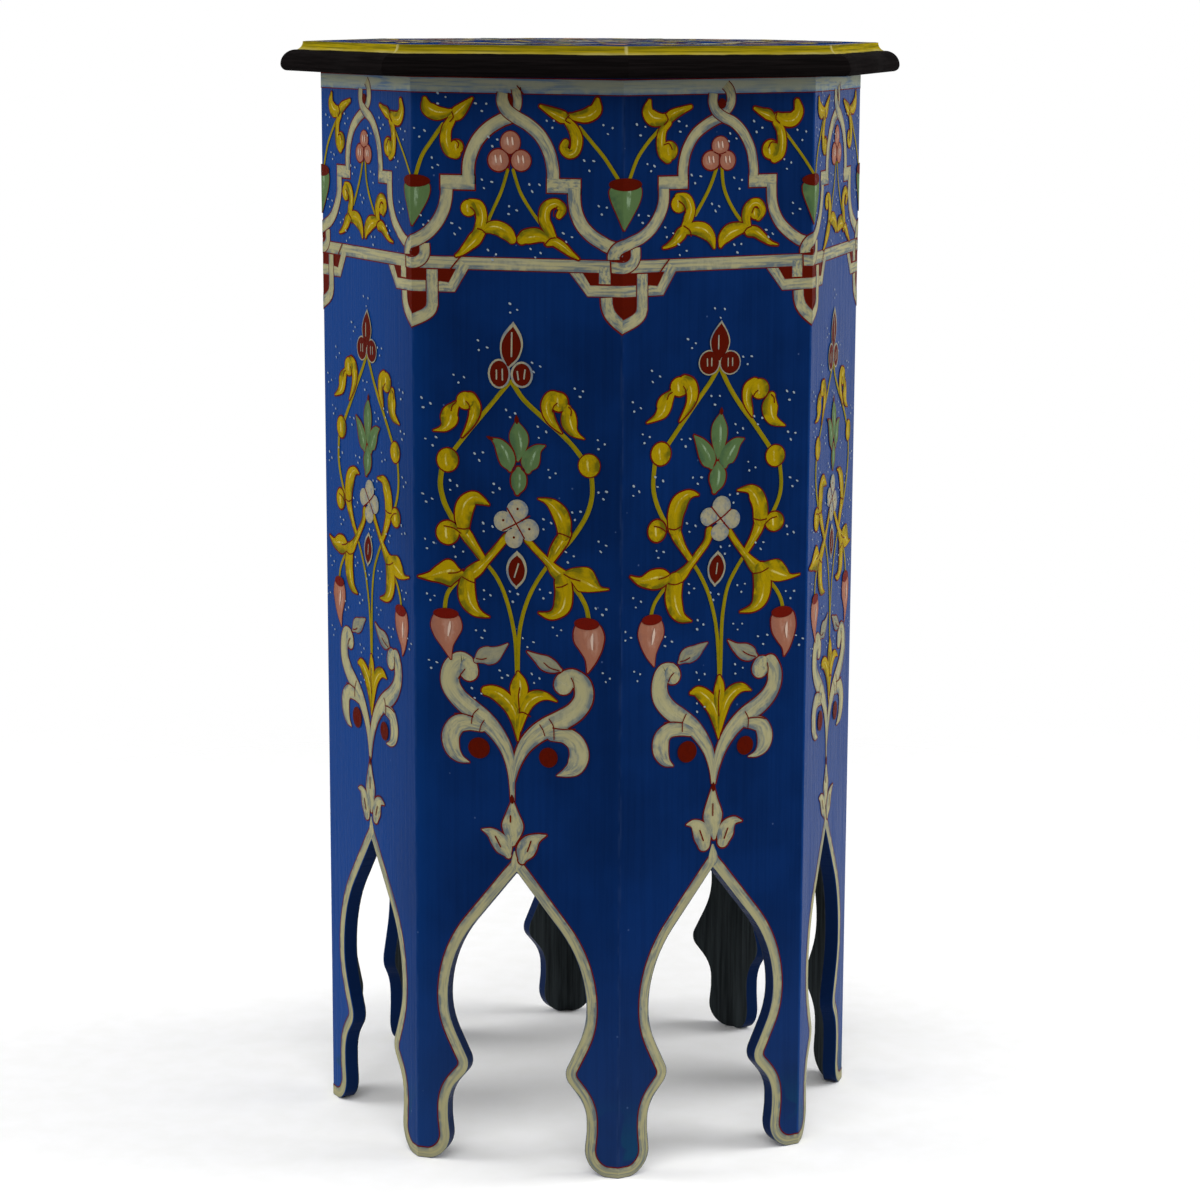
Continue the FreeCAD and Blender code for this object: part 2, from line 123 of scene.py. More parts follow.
# Marks are in millimetres on the flat side: across from its middle line, height above
# the floor, half width. A disc has its two half sizes after its place.
ODD_SIDE = {
    "border_point": [[(0, 169.2, 0.5), (0, 172, 3), (-0.4, 175, 2.6), (-1, 179.5, 0.8)]],
    "top_band": [even(3.7, (-60, 589.6), (60, 588.8))],
    "low_bars": [
        even(3.1, (-60, 497.2), (60, 497.2)),
        even(3.6, (-41.5, 539.2), (-22.8, 539.2)),
        even(3.6, (16.9, 538.3), (35, 538.3)),
    ],
    "low_strands": [
        even(2.3, (-0.2, 588), (0.8, 583), (0.4, 578.8), (-1.6, 575)),
        even(3.2, (-26, 538.3), (-26.2, 545), (-25.3, 552), (-21.5, 560.5), (-15.5, 567),
             (-8.5, 571.3), (-4, 573), (-1, 574)),
        even(3.3, (31.6, 537), (31.8, 530), (33, 524), (36, 518), (41, 513), (47, 509.4),
             (51.3, 507.4), (62, 505)),
    ],
    "mid_strands": [
        even(3.2, (-6.8, 585.6), (-7.3, 581.5), (-5.2, 577), (0, 573.2), (7, 569.3), (13.5, 563.5),
             (18, 555.5), (20, 547), (20.2, 541.9)),
    ],
    "high_strands": [
        even(3.2, (-38.1, 535.7), (-38.5, 531), (-40, 525), (-43.5, 518.5), (-48.5, 513),
             (-53.5, 509.7), (-58, 507.8), (-62, 506.4)),
    ],
    "stems": [
        even(0.9, (-4.5, 546), (-8, 535), (-12.5, 525.5), (-15.5, 519)),
        even(0.9, (-1.5, 546), (2, 535.5), (7, 527), (13, 519)),
        even(1.1, (-40, 569), (-46, 561), (-52, 552), (-56, 540)),
        even(1, (34.5, 568.5), (41, 561), (48, 553), (55.5, 542)),
        even(1.2, (-3.5, 435.5), (-9, 429), (-17, 419.5), (-26, 409), (-35.5, 397)),
        even(1.3, (-2.5, 435.5), (4, 426.5), (13, 418.5), (23, 410.5), (31, 403), (36, 397)),
        even(1.5, (-41.5, 388), (-42.5, 379), (-40.5, 370), (-37, 363), (-33, 357), (-29, 351.5),
             (-22, 342.5), (-17.5, 337.5)),
        even(1.3, (41.5, 388), (42, 378), (40, 369), (36, 361), (30, 352.5), (23, 345), (18, 338)),
        even(1.1, (-22, 342.5), (-14, 334.5), (-9, 327), (-5, 317), (-2, 305), (-0.5, 295), (0.3, 278)),
        even(1.1, (22, 344), (16.5, 337), (10, 327), (5.5, 317), (2.5, 306), (1.2, 295), (0.8, 278)),
        even(1.2, (-32, 328.5), (-37, 323), (-39.5, 318), (-40.5, 310)),
        even(1.3, (32, 327.5), (36, 322.5), (39, 316.5), (40.5, 309)),
    ],
    "pods": [
        [(-39.7, 310.5, 1), (-39.7, 308.4, 6.8), (-39.5, 302.5, 8.8), (-39.5, 297, 6.8),
         (-38.8, 291, 3), (-37, 284.5, 0.3)],
        [(39.3, 309.5, 1), (39.4, 307.2, 6.6), (40.5, 300.5, 8.4), (41.5, 294.5, 6.2),
         (41.5, 288.5, 3), (39.8, 282, 0.3)],
    ],
    "lids": [(-39.7, 309.3, 7.3, 2.9), (39.2, 308.2, 7, 3.3)],
    "berries": [(-3, 560.2, 5.3, 5.8), (-9.5, 551, 5.6, 5.6), (2.8, 551, 5.3, 5.3)],
    "leaves": [
        [(-25, 528.5, 2.2), (-20.5, 527, 2.9), (-18.8, 521.5, 2.9), (-20, 516, 2.6), (-22.5, 512, 1.8)],
        [(-19.5, 513.5, 2.6), (-22.5, 510, 3.4), (-26, 506.5, 2.6), (-30, 502.8, 1.5), (-33, 501, 0.6)],
        [(23.5, 523, 1.6), (25.3, 526.5, 2.2), (21.5, 529.5, 2.2), (16.5, 527, 2.8), (15.5, 521, 2.9),
         (18, 515.5, 2.6), (20.5, 511.5, 1.6)],
        [(17.5, 509, 1.8), (21, 509.5, 2.2), (25.5, 507, 2.2), (30, 503.5, 1.4), (34, 501, 0.5)],
        [(-35.5, 572.5, 1.6), (-32.5, 574.5, 3.4), (-28.5, 578, 2.6), (-24, 582.5, 0.6)],
        [(-35.5, 571, 2.2), (-38, 566.5, 2.6), (-38.5, 560.5, 2.9), (-36.5, 555.5, 2.8), (-33, 554, 2.6)],
        [(28, 571.8, 1.4), (25.5, 573.5, 3), (20, 576, 2.2), (13.5, 579, 0.7)],
        [(28.5, 571, 2), (31.5, 567, 2.7), (33, 562, 3), (32, 556.5, 2.6), (28.8, 554.8, 2.2),
         (26, 557.5, 2.2), (27, 560.5, 1.8)],
        [(-30, 405.4, 0.3), (-27.2, 409.4, 1.2), (-24.8, 413.6, 2.1), (-23.2, 417.8, 2.8),
         (-23, 421.8, 3.1), (-25.5, 425.7, 3.4)],
        [(25, 409.6, 0.3), (22.4, 412.2, 1.2), (19.6, 415.6, 2.2), (17.6, 419.8, 2.9), (17.3, 424.2, 3.3),
         (19.4, 427.6, 3.5), (21.5, 427.8, 3.4)],
        [(-31, 356.5, 2.6), (-27.5, 352, 3), (-23.5, 346.5, 2.3), (-19, 340.5, 1.7)],
        [(28, 356, 2.4), (25.5, 352.5, 3.3), (22, 347, 3), (19.5, 342, 2)],
        [(-5.5, 352.5, 1.9), (-10, 347, 1.8), (-17, 339, 2), (-22, 334.5, 3.3), (-27, 331, 3.2),
         (-30, 330.5, 1)],
        [(6, 351.5, 1.6), (12, 345.5, 1.6), (18, 339.8, 1.9), (22, 335.5, 3.2), (27, 332, 3.5),
         (29, 331, 1.5)],
        [(-17.2, 268, 2.4), (-13.5, 267.8, 3.3), (-8.5, 265.5, 4), (-3, 260, 3.8), (0, 252, 2.6),
         (0.8, 242, 0.3)],
        [(22.5, 265, 0.3), (17, 267.3, 1.8), (11, 266.8, 3.2), (6, 263, 3.6), (3, 256.5, 3),
         (1.2, 248, 1.5)],
    ],
    "over_leaves": [
        [(-17.5, 514.5, 1.5), (-14, 516, 3), (-9.7, 515.8, 3.6), (-5, 513.4, 3.6), (-2.2, 510.3, 2.4)],
        [(17, 510.5, 1.4), (14, 512, 2.8), (10.6, 512.6, 3.6), (5.5, 511.7, 3.6), (3.2, 510.3, 2.6)],
        [(-50, 582, 1.2), (-48.5, 577.5, 3.4), (-43.5, 574.8, 3.6), (-38, 575, 2.2), (-35.5, 576, 1)],
        [(44, 582.5, 1.2), (43, 577.5, 3.2), (38, 574.5, 3.3), (32, 574, 2), (29.5, 574.5, 1)],
        [(-33.7, 421.9, 2), (-36.5, 418.1, 4.2), (-37.6, 413.9, 4.7), (-39.6, 410.3, 2.6),
         (-42.7, 408.7, 1), (-46.1, 408, 0.2)],
        [(28.1, 422.6, 2), (28.8, 419.5, 3.7), (29.4, 414.7, 4.1), (31.3, 410.6, 2.6), (34.3, 408.2, 1.1),
         (37.4, 406.8, 0.2)],
        [(-29.5, 355.5, 3), (-29.8, 362, 4.5), (-28.3, 368.5, 4.8), (-24, 372.5, 3.6), (-19.5, 371.5, 2.2),
         (-15.5, 369.5, 0.4)],
        [(26.5, 355, 3), (26.3, 361, 4), (24.3, 366.5, 4.2), (20.5, 371, 3), (16.5, 373.2, 1.3),
         (12.3, 374, 0.2)],
        [(-55, 328.6, 0.3), (-48.5, 329, 2.2), (-43, 330.5, 4.8), (-37.5, 331.5, 7), (-33, 331.5, 3.5),
         (-30.5, 331.8, 1)],
        [(-27, 330, 3.5), (-28, 323.5, 4.6), (-27, 317, 4.5), (-23.5, 312, 3), (-19.5, 309.8, 1.4),
         (-15.3, 308.8, 0.2)],
        [(51, 327.5, 0.3), (46.5, 327.5, 1.2), (42, 329.5, 4.5), (37.5, 332, 6.8), (32, 334, 4),
         (26.5, 334.5, 1)],
        [(26, 330, 4.5), (26.5, 323.5, 4.6), (25.5, 317, 4.5), (22, 312.8, 2.8), (18, 311.5, 1.8),
         (12.8, 312.6, 0.3)],
        [(1, 279, 0.8), (1.5, 275, 3.6), (1.5, 270, 4.9), (1, 265.5, 3.8), (1, 261, 1.5)],
    ],
    "balls": [
        (-26, 526, 4.2, 4.2),
        (-32.5, 557.5, 3.6, 3.6),
        (-28.2, 424.7, 4.8, 4.5),
        (23.6, 425.8, 4.8, 5),
        (-38.3, 392.5, 5.9, 6.2),
        (40.3, 392.7, 5.8, 6),
        (-38.5, 353.3, 6.3, 6.3),
    ],
    "buds": [
        [(0.3, 414.5, 0.6), (1, 409, 4.5), (1.8, 404, 5), (2, 399, 3), (1, 394, 0.6)],
        [(-13.4, 404.9, 0.3), (-9.4, 402.2, 2.8), (-6.1, 397.4, 4.4), (-4.3, 392.2, 3.9), (-3.4, 388.8, 1)],
        [(15.8, 402.3, 0.3), (11.8, 400.4, 2.5), (8.8, 396.2, 4.7), (7.2, 391.8, 4.5), (6.6, 388.8, 1.6)],
        [(1.3, 389.2, 1.4), (1.4, 386.6, 3.6), (1.4, 382.8, 4.2), (1, 379.2, 3.3), (0.6, 376.6, 1.1)],
    ],
    "halos": [
        [(-1.5, 466.7, 0.4), (-1.9, 461, 4.7), (-2.5, 455, 6.3), (-3.6, 448, 4.8), (-4.5, 443, 1)],
        [(0.5, 345, 0.4), (0.5, 342.8, 2.9), (0.4, 339.6, 4.9), (0.2, 335.4, 5.8), (0.1, 331, 5),
         (0, 327.8, 3.1), (0, 325.6, 0.8)],
    ],
    "halo_rounds": [
        (-9.3, 439.6, 6.3, 7.9),
        (3.2, 439.4, 6.2, 7),
        (0.1, 359.8, 3.4, 3.4),
        (0.8, 367.5, 6, 5.5),
        (-7.2, 361, 5.3, 5.5),
        (7.3, 357, 5.5, 6),
        (-1.3, 352, 5, 5.3),
    ],
    "seeds": [
        [(-1.6, 464, 0.4), (-2, 460, 3.5), (-2.5, 455, 5.3), (-3.5, 449, 4.2), (-4.3, 444.6, 1)],
        [(0.5, 342.6, 0.3), (0.5, 340.8, 2.4), (0.3, 338, 4), (0.2, 334.9, 4.6), (0.1, 331.5, 4),
         (0, 328.8, 2.4), (0, 327, 0.5)],
        [(-4, 585.2, 0.5), (-3.3, 583, 1.1), (-2.5, 580.8, 1), (-1.7, 579, 0.3)],
        [(0.1, 418, 0.2), (0.3, 415.5, 1.3), (0.5, 413.5, 0.4)],
        [(-16.3, 406, 0.3), (-14.9, 405.4, 0.9), (-13, 404.6, 0.4)],
        [(-2.6, 211, 0.6), (-2.5, 209.3, 1.2), (-2.4, 207.5, 0.8)],
    ],
    "seed_rounds": [
        (-9.3, 439.6, 5.2, 6.9),
        (3.2, 439.4, 5, 5.9),
        (-21.2, 236.3, 6.2, 5.8),
        (18, 233.8, 5.3, 5.5),
        (0.8, 368, 0.7, 0.7),
        (-7.2, 361.5, 0.7, 0.7),
        (7.3, 357.5, 0.7, 0.7),
        (-1.3, 352.5, 0.7, 0.7),
    ],
    "lines": [
        even(0.28, (-7.5, 556.8), (-3.2, 554), (0.6, 556.4)),
        even(0.28, (-3.2, 554), (-3.6, 546)),
        even(0.32, (-21, 515.4), (-18.4, 514.6), (-16.6, 512.8)),
        even(0.32, (15.5, 507.5), (18.5, 510.8), (21.5, 511.6)),
        even(0.32, (-25, 526.5), (-22.8, 524.5), (-22.2, 521)),
        even(0.32, (22.5, 527.5), (20.8, 525.5), (20.6, 522.5)),
        even(0.32, (-35, 575.5), (-34.2, 572.8), (-36, 570.5)),
        even(0.32, (29, 574.5), (27, 572), (29.5, 570.5)),
        even(0.3, (-27.8, 424.3), (-26.2, 422.6), (-25.6, 420.2)),
        even(0.3, (22.8, 425.2), (20.8, 423.4), (20, 420.4)),
        even(0.3, (29, 423.4), (30.4, 421.6), (30.2, 418.8)),
        even(0.3, (-40.5, 356.8), (-35, 355.8), (-31, 353.2)),
        even(0.32, (-33, 356), (-29, 355.6), (-25.8, 356.6)),
        even(0.32, (22.6, 356.3), (26, 355.6), (29.8, 354.2)),
        even(0.3, (-38, 331.3), (-33, 332), (-29.5, 334.2)),
        even(0.3, (-30.5, 329.8), (-26, 327.6), (-22.8, 326.8)),
        even(0.3, (26.5, 334.4), (30.5, 332.3), (35.5, 331.2)),
        even(0.3, (22.5, 327), (25.5, 327.5), (28.5, 329.2)),
        even(0.32, (2, 271), (1.2, 266), (1.8, 258)),
        even(0.32, (1.5, 257.2), (4, 257.6), (8, 255.6)),
        even(0.4, (-5, 368), (0, 360), (4.5, 352.5)),
        even(0.4, (-7.5, 356), (0, 360), (7.5, 364.5)),
        even(0.32, (-32.8, 273.8), (-31.2, 276.4), (-29, 279.2)),
        even(0.32, (30.8, 278.2), (32.2, 275), (32.4, 270.8)),
        even(0.3, (-21.5, 257.8), (-24.5, 254.5), (-25.5, 249.5)),
        even(0.3, (18.5, 254.8), (20.8, 251), (21.2, 244)),
        even(0.32, (20.5, 250.2), (26, 249.8), (33, 250.4)),
        even(0.28, (-18.2, 251.8), (-20, 248.8), (-20.8, 245.6)),
        even(0.28, (13.2, 251.4), (15, 248.6), (16, 245.6)),
        even(0.3, (-33.6, 423.4), (-35.4, 421.8), (-36.2, 419)),
        even(0.3, (-35.4, 560.4), (-33.4, 561), (-31.4, 559.4), (-31.8, 557)),
        even(0.32, (-35, 254.4), (-30, 254.5), (-24.5, 253.2)),
        even(0.3, (-22.5, 285.5), (-19.5, 285.2), (-16.8, 286)),
        even(0.3, (15.5, 285.6), (19, 283), (24, 281.8)),
        even(0.5, (-3.4, 199.8), (-3.4, 196.6)),
        even(0.4, (-12, 187.8), (-9, 182.2)),
        even(0.4, (8.2, 186.6), (6.2, 180.8)),
        even(0.32, (0.8, 589.2), (2.6, 587), (4.6, 584.8)),
    ],
    "dashes": [
        even(0.45, (-2.3, 461.3), (-2.5, 449)),
        even(0.42, (-10.8, 441.4), (-10.8, 436.8)),
        even(0.42, (-7.6, 442), (-7.5, 436.4)),
        even(0.42, (0.7, 441), (1.3, 436.8)),
        even(0.42, (5, 442), (4.4, 437.4)),
        even(0.42, (1.3, 338.4), (-1, 331.2)),
    ],
    "dots": [
        (-41, 583), (-19, 579), (-53, 565), (-45, 549), (-13, 561), (19, 571), (50, 568), (39.5, 549.7),
        (47, 526.5), (10, 537.5), (-16, 539), (-2.5, 525), (-50, 519.2), (-33, 515), (28, 511.7),
        (-13, 502), (11, 503.7), (-2, 474), (-19, 454), (11, 444), (-31.5, 436.5), (-50.5, 423),
        (35, 431.3), (-3, 419), (14, 409.5), (46.5, 404.5), (-47.5, 402.8), (-21, 395.8), (20, 387.8),
        (-36, 378.7), (-11.4, 378.6), (48, 377.8), (-50, 371.5), (33.2, 366.8), (17, 361),
        (-16.3, 357.5), (-49, 347.3), (-32.5, 343.5), (47.5, 350.2), (29.6, 343.8), (-48.4, 318.2),
        (-16.6, 320.5), (-1.7, 321.2), (16.2, 324), (47.3, 316.2), (22.4, 303.7), (6.7, 296.4),
        (-19.7, 300), (-7.2, 277.8), (-47.7, 281.5), (50.2, 279.5), (11, 276.8), (-22.8, 266.5),
    ],
    "faint_leaves": [
        [(-22.5, 284.5, 1.5), (-18.5, 287, 4.5), (-13.5, 288, 4.6), (-9, 291, 2.3), (-5, 294.5, 0.4)],
        [(6.3, 291, 0.3), (11, 288.3, 2), (16, 285.5, 4), (21, 283.5, 3.2), (24.5, 282.3, 1)],
    ],
    "scrolls": [
        [(-2.3, 209, 1.2), (-2.5, 216, 1.4), (-3, 226, 2.3), (-5.5, 236, 3.3), (-11, 245, 4.2),
         (-18, 252, 5), (-25, 257, 5.2), (-33, 263.5, 5), (-37.5, 271, 5.2), (-36.5, 279, 5.3),
         (-32, 283.7, 4.8), (-28.5, 283, 4.4)],
        [(-27, 280.4, 5), (-26.7, 278, 5.1)],
        [(-20, 248.5, 3.2), (-27, 250, 4.3), (-33.5, 248.5, 4.8), (-37.3, 242.5, 4.9), (-36.5, 235, 4.2),
         (-32.5, 230, 2.4), (-27, 228, 0.3)],
        [(-1.6, 219.5, 0.7), (0.2, 229, 2.2), (4, 238, 3.6), (10, 245, 4.6), (17, 250, 5.2),
         (25, 254.5, 5.2), (33, 260, 5), (37.5, 267, 5), (37, 274.5, 5), (32, 278.3, 4.6),
         (28.5, 277.8, 4.4)],
        [(26.8, 275.6, 5.2), (26.2, 274, 5.2)],
        [(20, 246, 3), (27, 246.5, 4.2), (33, 243, 4.9), (35.2, 236.5, 5.3), (33, 230, 4.6),
         (28.5, 226.5, 2.6), (23, 224.3, 0.3)],
        [(-2.3, 207.5, 0.8), (-2.3, 201, 3.6), (-2.2, 195, 5.9), (-2.3, 190, 4.8), (-2.5, 185, 2)],
        [(-19.5, 191, 0.3), (-14.5, 189.5, 2.8), (-10.5, 186, 4.5), (-6.8, 181.5, 4.6), (-4.8, 177.8, 1.8)],
        [(16.5, 190.5, 0.3), (11.5, 188.5, 2.4), (7.5, 185, 4.8), (4.5, 180, 4.8), (3, 175.5, 2)],
    ],
}

EVEN_SIDE = {
    "border_point": [[(0, 169.2, 0.5), (0.1, 172, 3), (0, 176, 2.5), (-0.2, 181, 0.8)]],
    "top_band": [even(3.7, (-60, 588.8), (60, 589.6))],
    "low_bars": [
        even(3.1, (-60, 497.2), (60, 497.2)),
        even(3.2, (-37, 540), (-19.8, 540)),
        even(3.2, (17.6, 539.8), (34.4, 539.8)),
    ],
    "low_strands": [
        even(2.5, (2.5, 590), (5.5, 586.5), (6, 581), (3.5, 577), (0.6, 573.6)),
        even(2.7, (-22.5, 541), (-22.5, 548), (-20.5, 556.5), (-15.5, 564.5), (-9, 569.3),
             (-3, 572.3), (0.5, 573.3)),
        even(2.9, (31.5, 538), (31.8, 530), (33.5, 523.5), (37, 517.5), (42, 512.8), (47, 509.4),
             (51.3, 507.4), (62, 505)),
    ],
    "mid_strands": [
        even(2.6, (-4.7, 585.6), (-5, 581), (-3, 576.5), (1.5, 573.3), (8, 570.3), (14, 564.5),
             (18.5, 556), (20.2, 547), (20.3, 542.6)),
    ],
    "high_strands": [
        even(3, (-34, 537), (-34.2, 530), (-36.5, 523.5), (-41, 517), (-47, 512.3), (-53, 509.8),
             (-58, 507.8), (-62, 506.4)),
    ],
    "stems": [
        even(1, (-2.5, 547), (-6, 538), (-10.5, 530), (-15, 523)),
        even(1, (0.8, 547), (1.8, 538), (5, 530), (10, 522.5), (15, 517)),
        even(1, (-37.5, 567), (-44, 560.5), (-50, 552.5), (-54.5, 542)),
        even(0.8, (38.5, 566), (45, 558.5), (51, 551.5), (57.5, 543)),
        even(1.3, (0.1, 442.3), (-5.4, 434.1), (-13.4, 424.4), (-21.4, 414.3), (-31.4, 401.7)),
        even(1.3, (1.1, 442.3), (7.6, 430.5), (15.1, 419.9), (22.6, 410.8), (32.6, 397.6)),
        even(1.3, (-38.2, 393.6), (-39.2, 382.5), (-37.7, 373.9), (-33.9, 365.3), (-29.4, 358.2),
             (-21.9, 347.9), (-15.4, 339.2)),
        even(1.2, (39.1, 387.5), (40.1, 377.4), (38.6, 369.4), (34.1, 360.7), (29.6, 356.1),
             (22.6, 346.9), (17.6, 340.2)),
        even(1.1, (-15.4, 339.2), (-10.4, 332.1), (-4.9, 321.4), (-0.9, 308.3), (1.1, 296.4),
             (2.1, 283.6), (2.6, 272.5)),
        even(1.1, (17.6, 340.2), (12.1, 332.6), (7.1, 323.4), (4.6, 311.2), (3.7, 299.4),
             (3.5, 285.6), (3.2, 272.5)),
        even(1.1, (-31.4, 326.5), (-35.4, 321.9), (-38.4, 317.3), (-40.4, 310.2)),
        even(1.1, (34.1, 323.9), (38.1, 319.3), (41.1, 313.7), (42.6, 307.3)),
    ],
    "pods": [
        [(-39.6, 311, 1), (-39.7, 308.9, 6), (-39.9, 302.3, 7.8), (-40.2, 296.4, 5.8),
         (-39.7, 290.5, 3), (-37.9, 284.6, 0.3)],
        [(41.8, 308.3, 1), (42, 305.9, 6.6), (43.1, 298.4, 7.6), (44.1, 292.5, 5.5),
         (44.6, 287.1, 2.5), (43.6, 282.6, 0.3)],
    ],
    "lids": [(-39.5, 309.8, 6.2, 2.9), (41.7, 306.9, 6.8, 3.2)],
    "berries": [(-0.3, 558.5, 5, 4.8), (-5.8, 551, 5.2, 4.8), (4.2, 550.8, 4.6, 4.8)],
    "leaves": [
        [(-25.5, 532.5, 2), (-20.5, 531.5, 2.6), (-18, 526, 2.7), (-19.5, 520.5, 2.6), (-22, 516.5, 1.5)],
        [(-21.5, 516, 2), (-23.5, 513.5, 3), (-27, 509.8, 2.2), (-31, 507.5, 1.2), (-34, 506.5, 0.5)],
        [(23.5, 520.5, 1.6), (26, 524, 1.9), (24, 528, 2), (20, 528.3, 2.1), (16.8, 525, 2.6),
         (16, 520, 2.4), (17.5, 516, 1.5)],
        [(18, 513.5, 2.6), (22, 513, 2.6), (26.5, 510, 2), (31, 507, 1), (35.5, 505.8, 0.3)],
        [(-32.5, 572.5, 2.6), (-29, 575, 2.6), (-24, 577, 1.8), (-18.5, 578.8, 1)],
        [(-31.5, 570.5, 1.6), (-35, 567, 2.2), (-36, 561.5, 2.5), (-35, 555.5, 2.6), (-32, 552.5, 2.4)],
        [(32.5, 571.5, 1.2), (29, 574, 2.6), (25, 575.5, 1.8), (20.5, 577.5, 0.8)],
        [(33.5, 570, 1.8), (36.5, 566, 2.4), (37.5, 560, 2.6), (36.5, 554, 2.6), (33, 551.5, 2.4)],
        [(-23.3, 415, 0.3), (-17.8, 422.4, 2), (-15.8, 428.3, 3.2), (-17, 433.8, 3.5), (-20.5, 435.8, 3.4)],
        [(21.3, 415, 0.3), (19.3, 419.9, 1.8), (17.9, 424.8, 2.5), (18.9, 430.1, 3.2), (22.4, 432.4, 3.2)],
        [(-25.9, 357.1, 3.2), (-23.9, 352.5, 2.8), (-20.4, 346.4, 1.8), (-15.9, 340.2, 1.5)],
        [(27.1, 358.2, 3.4), (25.6, 353.5, 2.8), (22.1, 347.4, 2), (18.1, 341.8, 1.6)],
        [(-4.4, 355.1, 2.2), (-5.9, 349.5, 1.8), (-11.4, 342.8, 1.8), (-16.9, 336.7, 2),
         (-20.9, 332.9, 3), (-25.4, 330, 3.5)],
        [(7.6, 354.1, 1.6), (12.6, 346.9, 1.6), (18.1, 340.2, 1.8), (23.6, 334.1, 3.2), (28.1, 330.5, 3.8)],
        [(-14.9, 267.4, 0.8), (-10.9, 267.7, 2.8), (-5.9, 264.3, 3.8), (-0.9, 258.3, 4),
         (1.6, 250.3, 2.8), (2.6, 240.7, 0.3)],
        [(22.6, 265.4, 0.3), (17.1, 267.4, 2.3), (11.6, 265.9, 3.4), (7.1, 261.3, 3.6),
         (4.6, 254.2, 2.8), (3.1, 244.6, 1)],
    ],
    "over_leaves": [
        [(-19.5, 515.5, 2.5), (-15, 516, 3.3), (-9.5, 514.5, 3.8), (-5.5, 510.8, 2.7), (-3.5, 505.8, 0.8)],
        [(15.5, 515.5, 2), (11, 515, 3.2), (6, 513.5, 3.9), (2, 510, 3), (0.5, 506.5, 1)],
        [(-43, 582, 1), (-44, 577, 3), (-41, 573.3, 3.8), (-36, 572.5, 3), (-32, 573.5, 2.2)],
        [(46.5, 580.5, 1.6), (47.5, 575.5, 2.8), (44, 571.5, 3.5), (38.5, 571.5, 3.2), (34.5, 573, 2)],
        [(-28.5, 429.8, 2), (-32.2, 425.4, 4.3), (-34, 420.7, 3.6), (-37.9, 417.6, 1.6),
         (-43.1, 415.4, 0.3)],
        [(33.1, 425.1, 2.4), (32.3, 420.4, 4.6), (32.7, 415.6, 4.2), (35.1, 411.8, 2.6),
         (41.8, 408.8, 0.3)],
        [(-25.9, 358.2, 3.8), (-25.4, 365.3, 4.6), (-22.9, 371.4, 4.8), (-18.7, 374.9, 3),
         (-14.9, 375.7, 1.5), (-11.7, 374.9, 0.3)],
        [(27.4, 359.2, 4.3), (26.9, 366.3, 4.4), (24.1, 372.4, 4.2), (20.1, 375.7, 2.2),
         (12.9, 375.6, 0.3)],
        [(-52.4, 334.1, 0.3), (-46.4, 331.1, 2.2), (-39.4, 331.4, 5), (-32.9, 331.6, 4.6),
         (-27.9, 331.1, 1.2)],
        [(-25.4, 329.5, 4.5), (-26.4, 321.4, 4.8), (-24.9, 314.2, 4.3), (-21.4, 309.3, 2.6),
         (-15.4, 306.9, 0.3)],
        [(52.6, 326.8, 0.3), (46.6, 326.1, 1.2), (41.6, 328, 4.3), (36.6, 330.5, 5.8),
         (31.6, 332.6, 3.2), (28.6, 333.9, 1)],
        [(28.1, 330.5, 4.8), (29.1, 322.4, 5.2), (27.6, 315.2, 4.5), (23.1, 310.7, 2.2),
         (15.4, 309.3, 0.3)],
        [(2.6, 274.5, 1), (2.9, 270.4, 2.6), (2.6, 265.4, 3.2), (2.1, 260.3, 2.5), (2.4, 255.2, 1)],
    ],
    "balls": [
        (-25, 529, 4.5, 4.5),
        (21.5, 523, 3.2, 3.2),
        (-31, 556.5, 4.8, 4.8),
        (30.5, 556, 4.9, 4.9),
        (-23.6, 433.3, 5.4, 5),
        (25.8, 429.6, 5.5, 5.3),
        (-34.6, 398.3, 5.8, 6),
        (36.1, 392.8, 5.8, 5.7),
        (-36.7, 357.4, 5.3, 5.8),
        (36.1, 357.1, 5.7, 5.2),
    ],
    "buds": [
        [(1.9, 417.8, 0.5), (1.1, 411.8, 4.2), (0.9, 405.7, 4.8), (0.6, 398.6, 3), (0.1, 393.6, 0.5)],
        [(-14.4, 406.7, 0.3), (-10.4, 402.2, 3), (-6.9, 396.6, 4.6), (-4.9, 392.1, 4), (-3.7, 389.3, 1.2)],
        [(16.1, 403.2, 0.3), (11.6, 401.2, 3), (7.6, 396.6, 4.8), (4.9, 392.1, 4.2), (4.6, 389.3, 1.3)],
        [(0.1, 391.1, 1), (0.4, 386, 4.6), (-0.4, 380.5, 4.4), (-1.7, 376.1, 1.2)],
    ],
    "halos": [
        [(1.6, 466.8, 0.4), (1.2, 461.7, 4.2), (0.8, 456.3, 6.2), (0.4, 450.3, 4.6), (0.1, 445.9, 1.2)],
        [(0.9, 343.4, 0.4), (0.8, 341.4, 2.7), (0.5, 338.4, 4.7), (0.1, 334.4, 5.6), (-0.4, 330.2, 4.8),
         (-0.7, 327.2, 3), (-0.9, 325.2, 0.8)],
    ],
    "halo_rounds": [
        (-5.7, 445.1, 6.6, 6.8),
        (7.1, 444.7, 6.6, 6.6),
        (2.2, 361, 3.2, 3.2),
        (2.8, 367.8, 5.7, 5.5),
        (-5.1, 362.6, 5.2, 5),
        (9.6, 360.4, 4.8, 5.2),
        (1.9, 353.8, 5.5, 4.8),
    ],
    "seeds": [
        [(1.5, 465.2, 0.4), (1.2, 461.6, 3.4), (0.8, 456.3, 5.5), (0.4, 451, 4.3), (0.2, 447.2, 1.2)],
        [(0.8, 341.6, 0.3), (0.7, 339.9, 2.3), (0.4, 337.2, 3.9), (0.1, 334.2, 4.6), (-0.3, 330.9, 3.9),
